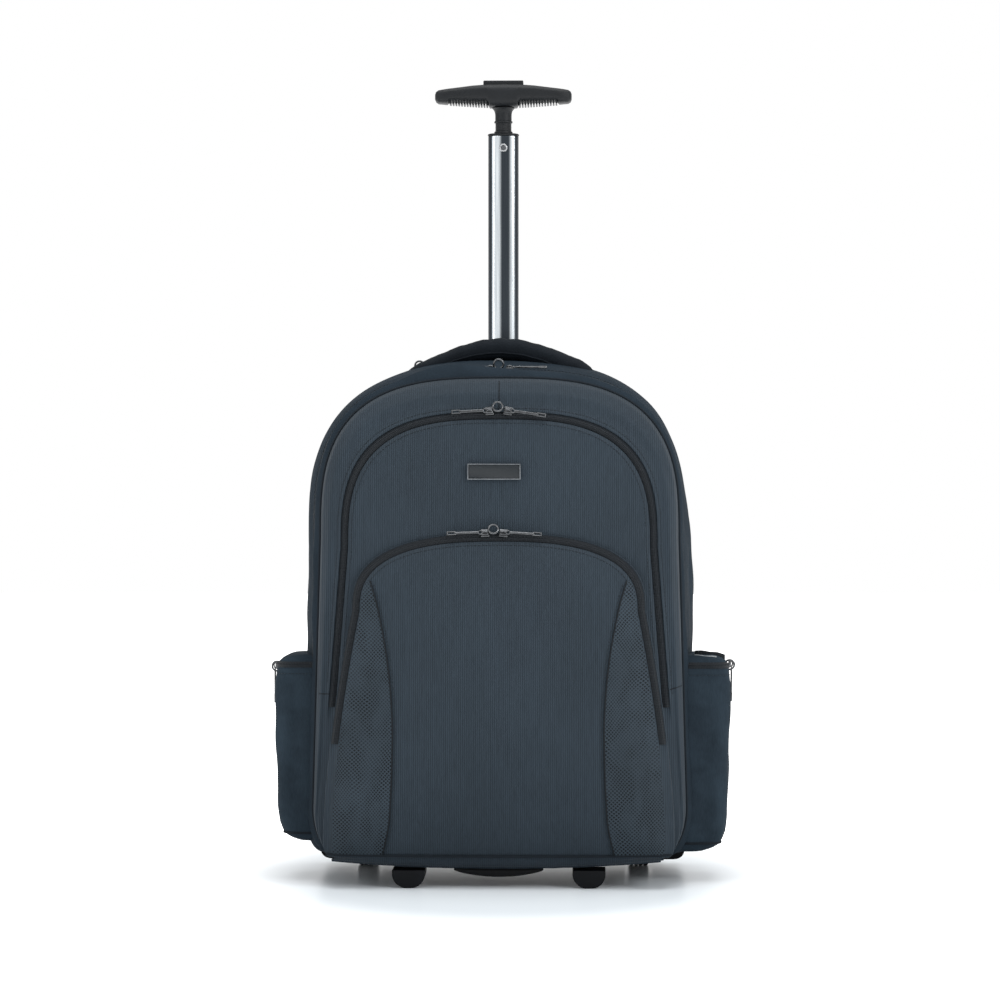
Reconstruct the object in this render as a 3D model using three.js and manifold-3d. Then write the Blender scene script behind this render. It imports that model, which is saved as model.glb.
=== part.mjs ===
// A wheeled backpack: a soft hollow bag on a hard wheel base, with a pole that slides out of its back.
// Millimetres, +Z up, the bag's front faces -Y and its wheels are at +Y.
import * as THREE from "three";
import { mergeVertices } from "three/addons/utils/BufferGeometryUtils.js";
import Module from "manifold-3d";

const wasm = await Module();
wasm.setup();

// Clearances and cloth
const seamGap = 0.3;
const runGap = 0.5;
const clothWall = 2.5;

// Bag body, measured over the cloth
const bagHalfWidth = 187;
const bagTop = 499;
const bagBottom = 28;
const bagFrontY = -58;
const bagBackY = 118;
const bagShoulder = 330;
const bagCornerWidth = 26;
const bagCornerHeight = 46;
const bagHemFlare = 7;
const raisedCorner = 8;
const backPanelThickness = 8;
const backPanelRounding = 4;

// Zips: where each tape lies and how wide and thick it is
const tapeWidth = 8;
const tapeThickness = 1.4;
const mainZipY = -44;
const rearZipY = 62;
const bodyZipEnd = 226;

// Front compartment, the tall arch
const archTop = 441;
const archHalfWidth = 142;
const archFlare = 20;
const archShoulder = 320;
const archZipEnd = 182;
const archBottom = 33;
const archDepth = 25;
const archCrown = 9.5;

// Lower pocket, the low arch with its mesh side panels
const pocketTop = 326;
const pocketHalfWidth = 130;
const pocketFlare = 27;
const pocketShoulder = 262;
const pocketZipEnd = 146;
const pocketBottom = 30;
const pocketDepth = 7;
const pocketCrown = 12.5;
const meshThickness = 1.2;
const archRound = { width: 10, height: 30 };
const pocketRound = { width: 5, height: 16 };

// Side pockets
const sidePocketFrontY = -46;
const sidePocketBackY = 50;
const sidePocketTop = 217;
const sidePocketRounding = 16;
const sidePocketRoot = 45;
const mouthHeight = 16;
const sidePocketLeft = { reach: 30, bottom: 36, mouth: 0 };
const sidePocketRight = { reach: 37, bottom: 29, mouth: 16 };

// Hard base: tray, wheel housings, feet and bottom grip
const trayThickness = 10.7;
const trayFrontY = -92;
const trayPastPocket = 7;
const trayHalfWidth = pocketHalfWidth + pocketFlare + trayPastPocket;
const trayEdgeRise = 6;
const housingHalfWidth = 180;
const housingInnerX = 100;
const housingBottom = 11;
const housingTop = 76;
const housingFrontY = 54;
const housingRounding = 12;
const footX = 85;
const footWidth = 31;
const footLength = 34;
const footRounding = 13.5;
const bottomGripHalfSpan = 41;
const bottomGripDrop = 6.8;
const bottomGripWidth = 24;
const bottomGripThickness = 2.8;

// Wheels
const wheelRadius = 32;
const wheelWidth = 20;
const wheelX = 135;
const wheelY = 98;
const wheelRoom = 3.5;
const tyreDepth = 8;
const axleRadius = 3;
const axleHold = 10;
const hubWall = 4;
const hubDish = 2.5;
const tyreChamfer = 2;

// Pole, grip and the tube that guides them
const poleY = 100;
const poleWidth = 30.4;
const poleDepth = 17.6;
const poleWall = 1.4;
const poleTop = 729.4;
const poleHeldLength = 68;
const guideWall = 1.6;
const collarHeight = 8;
const collarRim = 6;
const poleCapThickness = 2.4;
const neckRadius = 8.2;
const neckFlareRadius = 14.5;
const neckHeight = 25.5;
const gripHalfLength = 68.4;
const gripHeight = 24;
const gripDepth = 30;
const buttonHalfLength = 20;
const buttonDepth = 13;
const buttonHeight = 8;
const buttonProud = 3;
const buttonRoom = 3.6;
const rivetRadius = 4.3;
const rivetThickness = 1.4;
const rivetDrop = 12;

// Carry handle over the top
const handleHalfSpan = 96;
const handleTop = 525;
const handleThickness = 18.5;
const handleWidth = 30;
const handleY = 22;
const handleFall = 39;

// Badge on the front compartment
const badgeWidth = 50;
const badgeHeight = 15;
const badgeX = -4.3;
const badgeZ = 392;
const badgeThickness = 2.2;
const badgeFrameWidth = 1.2;
const badgeFrameProud = 0.5;

// Shoulder straps and their webbing
const strapWidth = 62;
const strapThickness = 12;
const strapTopX = 52;
const strapTopZ = 466;
const strapBottomX = 92;
const strapBottomZ = 176;
const strapBow = 20;
const webbingWidth = 25;
const webbingThickness = 1.6;
const webbingEndX = 148;
const webbingEndZ = 96;
const buckleWidth = 34;
const buckleHeight = 24;
const buckleThickness = 5;

// Zip sliders and pulls
const sliderWidth = 8;
const sliderHeight = 8;
const sliderThickness = 4;
const pullLength = 36;
const pullWidth = 4;
const pullThickness = 1.8;
const ringRadius = 4.6;
const ringWire = 1;

// Colours of the real pieces
const colours = {
  clothFront: 0x3a464e,
  clothSide: 0x2b353c,
  mesh: 0x323c43,
  handle: 0x1d1f22,
  tape: 0x17191b,
  darkMetal: 0x55585b,
  plastic: 0x1b1d20,
  grip: 0x26292d,
  aluminium: 0xd9dde0,
  tyre: 0x1a1a1a,
  badge: 0x2c2a29,
  webbing: 0x16181a,
};

function surface(colour, roughness, metalness = 0) {
  return new THREE.MeshStandardMaterial({ color: colour, roughness, metalness });
}

const materials = {
  clothFront: surface(colours.clothFront, 0.85),
  clothSide: surface(colours.clothSide, 0.8),
  mesh: surface(colours.mesh, 0.9),
  handle: surface(colours.handle, 0.7),
  tape: surface(colours.tape, 0.8),
  darkMetal: surface(colours.darkMetal, 0.3, 1),
  plastic: surface(colours.plastic, 0.5),
  grip: surface(colours.grip, 0.45),
  aluminium: surface(colours.aluminium, 0.18, 1),
  tyre: surface(colours.tyre, 0.8),
  badge: surface(colours.badge, 0.6),
  webbing: surface(colours.webbing, 0.85),
};

const group = new THREE.Group();

function add(name, geometry, material) {
  const mesh = new THREE.Mesh(geometry, material.clone());
  mesh.name = name;
  group.add(mesh);
}

// Solids and booleans
function signedVolume(positions, index) {
  const a = new THREE.Vector3();
  const b = new THREE.Vector3();
  const c = new THREE.Vector3();
  let volume = 0;
  for (let i = 0; i < index.length; i += 3) {
    a.fromArray(positions, index[i] * 3);
    b.fromArray(positions, index[i + 1] * 3);
    c.fromArray(positions, index[i + 2] * 3);
    volume += a.dot(b.cross(c));
  }
  return volume;
}

function closedGeometry(points, faces) {
  const positions = points.flatMap((point) => [point.x, point.y, point.z]);
  const index = faces.flat();
  if (signedVolume(positions, index) < 0) {
    index.reverse();
  }
  const geometry = new THREE.BufferGeometry();
  geometry.setAttribute("position", new THREE.Float32BufferAttribute(positions, 3));
  geometry.setIndex(index);
  return geometry;
}

function toSolid(geometry) {
  const bare = geometry.clone();
  bare.deleteAttribute("normal");
  bare.deleteAttribute("uv");
  const merged = mergeVertices(bare, 1e-4);
  const vertProperties = new Float32Array(merged.getAttribute("position").array);
  const triVerts = new Uint32Array(merged.index.array);
  return new wasm.Manifold(new wasm.Mesh({ numProp: 3, vertProperties, triVerts }));
}

function toGeometry(solid) {
  const mesh = solid.getMesh();
  const geometry = new THREE.BufferGeometry();
  geometry.setAttribute("position", new THREE.BufferAttribute(mesh.vertProperties, 3));
  geometry.setIndex(new THREE.BufferAttribute(mesh.triVerts, 1));
  return geometry;
}

function join(...geometries) {
  const solids = geometries.map(toSolid);
  return toGeometry(solids.reduce((whole, piece) => whole.add(piece)));
}

function cut(geometry, ...tools) {
  return toGeometry(tools.map(toSolid).reduce((whole, tool) => whole.subtract(tool), toSolid(geometry)));
}

function common(geometry, other) {
  return toGeometry(toSolid(geometry).intersect(toSolid(other)));
}

function middle(points) {
  const sum = points.reduce((total, point) => total.add(point), new THREE.Vector3());
  return sum.divideScalar(points.length);
}

// One closed body through rings of equally many points, with a fan over each end
function loft(rings, startTip = middle(rings[0]), endTip = middle(rings[rings.length - 1])) {
  const count = rings[0].length;
  const points = [...rings.flat(), startTip, endTip];
  const faces = [];
  for (let row = 0; row < rings.length - 1; row += 1) {
    for (let i = 0; i < count; i += 1) {
      const here = row * count + i;
      const next = row * count + ((i + 1) % count);
      faces.push([here, next, next + count], [here, next + count, here + count]);
    }
  }
  const last = (rings.length - 1) * count;
  for (let i = 0; i < count; i += 1) {
    const next = (i + 1) % count;
    faces.push([next, i, points.length - 2], [last + i, last + next, points.length - 1]);
  }
  return closedGeometry(points, faces);
}

function alongY(shape, frontY, backY, curveSegments = 6) {
  const options = { depth: backY - frontY, bevelEnabled: false, curveSegments };
  return new THREE.ExtrudeGeometry(shape, options).rotateX(Math.PI / 2).translate(0, backY, 0);
}

function alongZ(shape, bottom, top, curveSegments = 5) {
  const options = { depth: top - bottom, bevelEnabled: false, curveSegments };
  return new THREE.ExtrudeGeometry(shape, options).translate(0, 0, bottom);
}

function block(minX, maxX, minY, maxY, minZ, maxZ) {
  const box = new THREE.BoxGeometry(maxX - minX, maxY - minY, maxZ - minZ);
  return box.translate((minX + maxX) / 2, (minY + maxY) / 2, (minZ + maxZ) / 2);
}

function rodAlongX(radius, minX, maxX, y, z, sides) {
  const rod = new THREE.CylinderGeometry(radius, radius, maxX - minX, sides);
  return rod.rotateZ(Math.PI / 2).translate((minX + maxX) / 2, y, z);
}

// Arch outlines, seen from the front: half of the points from the bottom's middle up to the top's middle
const BOTTOM_STEPS = 2;
const CORNER_STEPS = 3;
const LOWER_SIDE_STEPS = 2;
const UPPER_SIDE_STEPS = 3;
const ARCH_STEPS = 9;
const ZIP_FROM = BOTTOM_STEPS + CORNER_STEPS + LOWER_SIDE_STEPS;
const HALF_STEPS = ZIP_FROM + UPPER_SIDE_STEPS + ARCH_STEPS;

function archHalf(shape) {
  const { halfWidth, top, bottom, shoulder, zipEnd, square, flare, flarePower } = shape;
  const { cornerWidth, cornerHeight } = shape;
  const cornerTop = bottom + cornerHeight;
  const sideX = (z) => halfWidth + flare * (1 - ((z - cornerTop) / (shoulder - cornerTop)) ** flarePower);
  const cornerX = sideX(cornerTop) - cornerWidth;
  const points = [];
  for (let i = 0; i < BOTTOM_STEPS; i += 1) {
    points.push([(cornerX * i) / BOTTOM_STEPS, bottom]);
  }
  for (let i = 0; i < CORNER_STEPS; i += 1) {
    const turn = (Math.PI / 2) * (i / CORNER_STEPS);
    points.push([cornerX + cornerWidth * Math.sin(turn), cornerTop - cornerHeight * Math.cos(turn)]);
  }
  for (let i = 0; i < LOWER_SIDE_STEPS; i += 1) {
    const z = cornerTop + ((zipEnd - cornerTop) * i) / LOWER_SIDE_STEPS;
    points.push([sideX(z), z]);
  }
  for (let i = 0; i < UPPER_SIDE_STEPS; i += 1) {
    const z = zipEnd + ((shoulder - zipEnd) * i) / UPPER_SIDE_STEPS;
    points.push([sideX(z), z]);
  }
  for (let i = 0; i <= ARCH_STEPS; i += 1) {
    const turn = (Math.PI / 2) * (i / ARCH_STEPS);
    const across = i === ARCH_STEPS ? 0 : Math.cos(turn) ** (2 / square);
    points.push([halfWidth * across, shoulder + (top - shoulder) * Math.sin(turn) ** (2 / square)]);
  }
  return points;
}

function archRing(shape, y) {
  const half = archHalf(shape);
  const right = half.map(([x, z]) => new THREE.Vector3(x, y, z));
  const left = half.slice(1, HALF_STEPS).reverse().map(([x, z]) => new THREE.Vector3(-x, y, z));
  return [...right, ...left];
}

function shrink(shape, inset) {
  return {
    ...shape,
    halfWidth: shape.halfWidth - inset,
    top: shape.top - inset,
    bottom: shape.bottom + inset,
  };
}

// Rings that close an arch: shares of the outline, each with its share of the crown
const CROWN_ROWS = [
  { spread: 0.94, crown: 0.42 },
  { spread: 0.8, crown: 0.76 },
  { spread: 0.55, crown: 0.95 },
  { spread: 0.28, crown: 1 },
];

const LINING_CROWN_ROWS = CROWN_ROWS.filter((row, i) => i % 2 === 0);

function crownRings(rows, edge, centre, crown) {
  return rows.map((row) =>
    edge.map((point) => {
      const moved = point.clone().sub(centre).multiplyScalar(row.spread).add(centre);
      moved.y = point.y - crown * row.crown;
      return moved;
    }),
  );
}

function shiftedY(rings, distance) {
  return rings.map((ring) => ring.map((point) => point.clone().setY(point.y + distance)));
}

// A strip between two neighbouring rings, lifted off them along their own normal
const TAPE_MARGIN = 0.05;

function tapeStrip(ringA, ringB, from, to, outwardFrom) {
  const rings = [];
  for (let i = from; i <= to; i += 1) {
    const edgeA = ringA[i].clone().lerp(ringB[i], TAPE_MARGIN);
    const edgeB = ringB[i].clone().lerp(ringA[i], TAPE_MARGIN);
    const along = ringA[i + 1].clone().sub(ringA[i - 1]);
    const normal = along.cross(edgeB.clone().sub(edgeA)).normalize();
    if (normal.dot(edgeA.clone().sub(outwardFrom)) < 0) {
      normal.negate();
    }
    const corner = (edge, lift) => edge.clone().addScaledVector(normal, lift);
    rings.push([
      corner(edgeA, seamGap),
      corner(edgeB, seamGap),
      corner(edgeB, seamGap + tapeThickness),
      corner(edgeA, seamGap + tapeThickness),
    ]);
  }
  return loft(rings);
}

// Bag body: depth is a share of the bag's depth from the front, width and rise are shares of its size
const BODY_ROWS = [
  { depth: 0, width: 0.91, rise: 0.962, square: 3, flare: 1 },
  { depth: 0.03, width: 0.925, rise: 0.971, square: 3, flare: 0.9 },
  { depth: 0.1, width: 0.948, rise: 0.977, square: 2.9, flare: 0.6 },
  { depth: 0.2, width: 0.97, rise: 0.988, square: 2.8, flare: 0.3 },
  { depth: 0.4, width: 0.998, rise: 0.999, square: 2.7, flare: 0 },
  { depth: 0.55, width: 1, rise: 1, square: 2.7, flare: 0 },
  { depth: 0.8, width: 0.99, rise: 0.997, square: 2.7, flare: 0 },
  { depth: 0.95, width: 0.975, rise: 0.996, square: 2.7, flare: 0 },
  { depth: 1, width: 0.962, rise: 0.993, square: 2.7, flare: 0 },
];
const bagDepth = bagBackY - bagFrontY;
const raisedBottom = housingTop + seamGap;

function bodyShape(y, raised) {
  const depth = (y - bagFrontY) / bagDepth;
  const upper = Math.max(1, BODY_ROWS.findIndex((row) => row.depth >= Math.min(depth, 1)));
  const [before, after] = [BODY_ROWS[upper - 1], BODY_ROWS[upper]];
  const part = (depth - before.depth) / (after.depth - before.depth);
  const blend = (column) => THREE.MathUtils.lerp(before[column], after[column], part);
  return {
    halfWidth: bagHalfWidth * blend("width"),
    top: bagBottom + (bagTop - bagBottom) * blend("rise"),
    bottom: raised ? raisedBottom : bagBottom,
    shoulder: bagShoulder,
    zipEnd: bodyZipEnd,
    square: blend("square"),
    flare: bagHemFlare * blend("flare"),
    flarePower: 1,
    cornerWidth: raised ? raisedCorner : bagCornerWidth,
    cornerHeight: raised ? raisedCorner : bagCornerHeight,
  };
}

// Stations of the body's rings from the front to the back, with the step over the wheel housings. lined is how
// far the wall's inner face lies behind its outer one, and a station without it has no inner ring.
const stepY = housingFrontY - seamGap;
const BODY_STATIONS = [
  { y: bagFrontY, raised: false, lined: clothWall },
  { y: bagFrontY + bagDepth * 0.03, raised: false },
  { y: mainZipY, raised: false, lined: clothWall },
  { y: mainZipY + tapeWidth, raised: false },
  { y: bagFrontY + bagDepth * 0.22, raised: false, lined: 0 },
  { y: bagFrontY + bagDepth * 0.4, raised: false, lined: 0 },
  { y: stepY - 1, raised: false, lined: -clothWall },
  { y: stepY, raised: true, lined: -clothWall },
  { y: rearZipY, raised: true },
  { y: rearZipY + tapeWidth, raised: true, lined: 0 },
  { y: bagFrontY + bagDepth * 0.95, raised: true },
  { y: bagBackY, raised: true, lined: 0 },
];

function bodyRings(grow) {
  return BODY_STATIONS.map(({ y, raised }) => archRing(shrink(bodyShape(y, raised), -grow), y));
}

function bodyLining() {
  return BODY_STATIONS.filter((station) => station.lined !== undefined).map(({ y, raised, lined }) =>
    archRing(shrink(bodyShape(y, raised), clothWall), y + lined),
  );
}

function bodySolid(grow) {
  const rings = bodyRings(grow);
  const front = rings[0].map((point) => point.clone().setY(bagFrontY - grow));
  const back = rings[rings.length - 1].map((point) => point.clone().setY(bagBackY + grow));
  return loft([front, ...rings, back]);
}

const outerBody = bodyRings(0);
const bodyCentre = new THREE.Vector3(0, (bagFrontY + bagBackY) / 2, bagShoulder / 2);

// Pole section: an oval with round ends
function oval(width, depth) {
  const end = depth / 2;
  const side = width / 2 - end;
  const shape = new THREE.Shape();
  shape.moveTo(-side, -end);
  shape.lineTo(side, -end);
  shape.absarc(side, 0, end, -Math.PI / 2, Math.PI / 2, false);
  shape.lineTo(-side, end);
  shape.absarc(-side, 0, end, Math.PI / 2, (3 * Math.PI) / 2, false);
  return shape;
}

function ovalTube(width, depth, wall, bottom, top) {
  const shape = oval(width, depth);
  shape.holes.push(oval(width - 2 * wall, depth - 2 * wall));
  return alongZ(shape, bottom, top).translate(0, poleY, 0);
}

const guideWidth = poleWidth + 2 * (runGap + guideWall);
const guideDepth = poleDepth + 2 * (runGap + guideWall);
const collarSeat = bodyShape(poleY - guideDepth / 2 - collarRim, true).top + seamGap;

function mainShell() {
  const shell = loft([...bodyLining(), ...outerBody.slice().reverse()]);
  const holeWidth = guideWidth + 2 * seamGap;
  const holeDepth = guideDepth + 2 * seamGap;
  const hole = oval(holeWidth, holeDepth);
  const slot = alongZ(hole, collarSeat - guideDepth, collarSeat + collarHeight).translate(0, poleY, 0);
  return cut(shell, slot);
}

function backPanel() {
  const outline = bodyShape(bagBackY, true);
  const near = bagBackY + seamGap;
  const far = near + backPanelThickness;
  const shoulder = far - backPanelRounding;
  return loft([
    archRing(outline, near),
    archRing(outline, shoulder),
    archRing(shrink(outline, backPanelRounding), far),
  ]);
}

// Front compartment: blend runs from the body's front seam to the outer edge of the zip tape
const ARCH_ROWS = [
  { blend: 0, depth: 0 },
  { blend: 0.1, depth: 0.4 },
  { blend: 0.45, depth: 0.74 },
  { blend: 1, depth: 0.9 },
];
function archShape(grow) {
  return {
    halfWidth: archHalfWidth + grow,
    top: archTop + grow,
    bottom: archBottom - grow * 0.3,
    shoulder: archShoulder,
    zipEnd: archZipEnd,
    square: 2.9,
    flare: archFlare,
    flarePower: 1,
    cornerWidth: archRound.width,
    cornerHeight: archRound.height,
  };
}

function compartmentRings(inset, forward) {
  const seam = archRing(shrink(bodyShape(bagFrontY, false), inset), 0);
  const tapeEdge = archRing(shrink(archShape(tapeWidth), inset), 0);
  const slope = ARCH_ROWS.map((row) =>
    seam.map((point, i) => {
      const y = bagFrontY - seamGap - archDepth * row.depth - (row.depth > 0 ? forward : 0);
      return point.clone().lerp(tapeEdge[i], row.blend).setY(y);
    }),
  );
  const arch = archRing(shrink(archShape(0), inset), bagFrontY - seamGap - archDepth - forward);
  return [...slope, arch];
}

const archCentre = new THREE.Vector3(0, 0, (archTop + archBottom) / 2);

function faceTip(edge, centre, crown) {
  return new THREE.Vector3(centre.x, edge[0].y - crown, centre.z);
}

function closedFace(rings, centre, crown, rows = CROWN_ROWS) {
  const edge = rings[rings.length - 1];
  return { rings: [...rings, ...crownRings(rows, edge, centre, crown)], tip: faceTip(edge, centre, crown) };
}

const archOuter = closedFace(compartmentRings(0, 0), archCentre, archCrown);

function frontCompartment() {
  const lining = compartmentRings(clothWall, -clothWall);
  const inner = closedFace(lining, archCentre, archCrown, LINING_CROWN_ROWS);
  return loft([...inner.rings.reverse(), ...archOuter.rings], inner.tip, archOuter.tip);
}

// What the front compartment fills, with the seam gap round it
function compartmentSolid() {
  const { rings, tip } = closedFace(compartmentRings(-seamGap, seamGap), archCentre, archCrown);
  const back = rings[0].map((point) => point.clone().setY(bagFrontY + clothWall));
  return loft([back, ...rings], undefined, tip);
}

// Lower pocket
const pocketBackY = bagFrontY - archDepth / 2;
const pocketFrontY = bagFrontY - archDepth - archCrown;
const pocketCentre = new THREE.Vector3(0, 0, (pocketTop + pocketBottom) / 2);

function pocketShape(grow) {
  return {
    halfWidth: pocketHalfWidth + grow,
    top: pocketTop + grow,
    bottom: pocketBottom,
    shoulder: pocketShoulder,
    zipEnd: pocketZipEnd,
    square: 2.6,
    flare: pocketFlare,
    flarePower: 1.56,
    cornerWidth: pocketRound.width,
    cornerHeight: pocketRound.height,
  };
}

const pocketBand = [
  archRing(pocketShape(tapeWidth), pocketFrontY - pocketDepth * 0.4),
  archRing(pocketShape(0), pocketFrontY - pocketDepth),
];
const pocketFace = closedFace(pocketBand, pocketCentre, pocketCrown);

function lowerPocket() {
  const back = archRing(pocketShape(tapeWidth), pocketBackY);
  const outer = loft([back, ...pocketFace.rings], undefined, pocketFace.tip);
  const cavityBand = [
    archRing(shrink(pocketShape(tapeWidth), clothWall), pocketBackY + archDepth / 2),
    archRing(shrink(pocketShape(tapeWidth), clothWall), pocketFrontY - pocketDepth * 0.4 + clothWall),
    archRing(shrink(pocketShape(0), clothWall), pocketFrontY - pocketDepth + clothWall),
  ];
  const cavity = closedFace(cavityBand, pocketCentre, pocketCrown, LINING_CROWN_ROWS);
  return cut(outer, loft(cavity.rings, undefined, cavity.tip), compartmentSolid());
}

// Mesh side panels: the seam's distance from the middle as a share of the pocket's widest half
const MESH_SEAM_ROWS = [
  { rise: -0.02, seam: 0.705 },
  { rise: 0.1, seam: 0.65 },
  { rise: 0.25, seam: 0.634 },
  { rise: 0.42, seam: 0.628 },
  { rise: 0.56, seam: 0.645 },
  { rise: 0.68, seam: 0.675 },
  { rise: 0.8, seam: 0.72 },
  { rise: 0.92, seam: 0.79 },
];
const MESH_SEAM_STEPS = 20;

function meshPanel(side) {
  const widest = pocketHalfWidth + pocketFlare;
  const height = pocketTop - pocketBottom;
  const knots = MESH_SEAM_ROWS.map(
    (row) => new THREE.Vector2(side * row.seam * widest, pocketBottom + row.rise * height),
  );
  const seam = new THREE.SplineCurve(knots).getPoints(MESH_SEAM_STEPS);
  const outside = side * (widest + 2 * tapeWidth);
  const region = new THREE.Shape([
    ...seam,
    new THREE.Vector2(outside, seam[MESH_SEAM_STEPS].y),
    new THREE.Vector2(outside, seam[0].y),
  ]);
  const faceRings = pocketFace.rings.slice(1);
  const near = shiftedY(faceRings, -seamGap);
  const far = shiftedY(faceRings, -seamGap - meshThickness);
  const nearTip = pocketFace.tip.clone().setY(pocketFace.tip.y - seamGap);
  const farTip = pocketFace.tip.clone().setY(pocketFace.tip.y - seamGap - meshThickness);
  const skin = loft([...near.reverse(), ...far], nearTip, farTip);
  return common(skin, alongY(region, farTip.y - pocketDepth, bagFrontY));
}

// Side pockets: rise is a share of the pocket's height, reach of its reach off the bag, tuck of its rounding
const SIDE_ROWS = [
  { rise: 0, reach: 0.25, tuck: 0.6 },
  { rise: 0.015, reach: 0.48, tuck: 0.38 },
  { rise: 0.035, reach: 0.66, tuck: 0.22 },
  { rise: 0.06, reach: 0.76, tuck: 0.12 },
  { rise: 0.1, reach: 0.85, tuck: 0.05 },
  { rise: 0.18, reach: 0.92, tuck: 0 },
  { rise: 0.35, reach: 0.98, tuck: 0 },
  { rise: 0.6, reach: 1, tuck: 0 },
  { rise: 0.85, reach: 0.985, tuck: 0 },
  { rise: 0.93, reach: 0.94, tuck: 0.04 },
  { rise: 0.968, reach: 0.85, tuck: 0.12 },
  { rise: 0.99, reach: 0.7, tuck: 0.3 },
  { rise: 1, reach: 0.5, tuck: 0.5 },
];
const SIDE_TAPE_ROW = 9;
const SIDE_CORNER_STEPS = 3;
const SIDE_TAPE_FROM = 2;
const SIDE_TAPE_TO = 2 * SIDE_CORNER_STEPS + 1;
const sideRootX = bagHalfWidth - sidePocketRoot;

const SIDE_LINING_ROWS = SIDE_ROWS.filter((row, i) => i % 3 === 0);

function sideRings(side, pocket, inset, rows = SIDE_ROWS) {
  const height = sidePocketTop - pocket.bottom - 2 * inset;
  return rows.map((row) => {
    const z = pocket.bottom + inset + height * row.rise;
    const tuck = sidePocketRounding * row.tuck + inset;
    const frontY = sidePocketFrontY + tuck;
    const backY = sidePocketBackY - tuck;
    const outerX = bagHalfWidth + pocket.reach * row.reach - inset;
    const round = sidePocketRounding - inset;
    const arc = (centreY, start) =>
      Array.from({ length: SIDE_CORNER_STEPS + 1 }, (_, i) => {
        const turn = start + (Math.PI / 2) * (i / SIDE_CORNER_STEPS);
        return [outerX - round + round * Math.cos(turn), centreY + round * Math.sin(turn)];
      });
    const outline = [
      [sideRootX, frontY],
      ...arc(frontY + round, -Math.PI / 2),
      ...arc(backY - round, 0),
      [sideRootX, backY],
    ];
    return outline.map(([x, y]) => new THREE.Vector3(side * x, y, z));
  });
}

function sidePocket(side, pocket) {
  const tools = [loft(sideRings(side, pocket, clothWall, SIDE_LINING_ROWS)), bodySolid(seamGap)];
  if (pocket.mouth > 0) {
    const ends = [side * (bagHalfWidth + pocket.reach * 0.08), side * (bagHalfWidth + pocket.reach * 0.62)].sort((a, b) => a - b);
    const frontY = sidePocketFrontY + sidePocketRounding * 0.6;
    const half = mouthHeight / 2;
    tools.push(block(...ends, frontY, frontY + pocket.mouth, sidePocketTop - half, sidePocketTop + half));
  }
  return cut(loft(sideRings(side, pocket, 0)), ...tools);
}

function sideTape(side, pocket) {
  const rings = sideRings(side, pocket, 0);
  const centre = new THREE.Vector3(side * sideRootX, (sidePocketFrontY + sidePocketBackY) / 2, sidePocketTop / 2);
  return tapeStrip(rings[SIDE_TAPE_ROW], rings[SIDE_TAPE_ROW + 1], SIDE_TAPE_FROM, SIDE_TAPE_TO, centre);
}

// Carry handle: thickness and width are shares of the handle's own
const HANDLE_ROWS = [
  { along: -1, thickness: 0.75, width: 0.95 },
  { along: -0.85, thickness: 0.9, width: 1 },
  { along: -0.62, thickness: 1.08, width: 1 },
  { along: -0.35, thickness: 1.06, width: 0.95 },
  { along: 0, thickness: 1, width: 0.9 },
  { along: 0.35, thickness: 1.06, width: 0.95 },
  { along: 0.62, thickness: 1.12, width: 1 },
  { along: 0.85, thickness: 1, width: 1 },
  { along: 1, thickness: 0.85, width: 0.95 },
];
const HANDLE_SIDES = 14;

function carryHandle() {
  const rings = HANDLE_ROWS.map((row) => {
    const halfHeight = (handleThickness * row.thickness) / 2;
    const halfWidth = (handleWidth * row.width) / 2;
    const centreZ = handleTop - handleFall * row.along ** 2 - halfHeight;
    return Array.from({ length: HANDLE_SIDES }, (_, i) => {
      const turn = (2 * Math.PI * i) / HANDLE_SIDES;
      const y = handleY + halfWidth * Math.sign(Math.cos(turn)) * Math.abs(Math.cos(turn)) ** 0.8;
      const z = centreZ + halfHeight * Math.sign(Math.sin(turn)) * Math.abs(Math.sin(turn)) ** 0.8;
      return new THREE.Vector3(handleHalfSpan * row.along, y, z);
    });
  });
  return cut(loft(rings), bodySolid(seamGap));
}

// Badge: a plate in a thin frame, bedded on the front compartment
function badgeBlock(inset, frontY) {
  const halfWidth = badgeWidth / 2 - inset;
  const halfHeight = badgeHeight / 2 - inset;
  const [left, right] = [badgeX - halfWidth, badgeX + halfWidth];
  return block(left, right, frontY, bagFrontY, badgeZ - halfHeight, badgeZ + halfHeight);
}

const badgeFaceY = bagFrontY - archDepth - archCrown - badgeThickness;

function badgePlate() {
  return cut(badgeBlock(badgeFrameWidth + seamGap / 2, badgeFaceY), compartmentSolid());
}

function badgeFrame() {
  const frame = badgeBlock(0, badgeFaceY - badgeFrameProud);
  return cut(frame, badgeBlock(badgeFrameWidth - seamGap / 2, badgeFaceY - badgeThickness), compartmentSolid());
}

// Hard base
const trayTop = bagBottom - seamGap;
const trayBottom = trayTop - trayThickness;

function baseTray() {
  const flatHalf = footX + footWidth;
  const profile = new THREE.Shape([
    new THREE.Vector2(-trayHalfWidth, trayTop),
    new THREE.Vector2(-trayHalfWidth, trayBottom + trayEdgeRise),
    new THREE.Vector2(-flatHalf, trayBottom),
    new THREE.Vector2(flatHalf, trayBottom),
    new THREE.Vector2(trayHalfWidth, trayBottom + trayEdgeRise),
    new THREE.Vector2(trayHalfWidth, trayTop),
  ]);
  const slab = alongY(profile, trayFrontY, stepY);
  const half = housingInnerX - seamGap;
  const rear = block(-half, half, stepY - 1, bagBackY, trayBottom, housingTop);
  const aboveSlab = block(-half - 1, half + 1, stepY - 2, housingFrontY, trayTop, housingTop + 1);
  return join(slab, cut(rear, aboveSlab));
}

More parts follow.
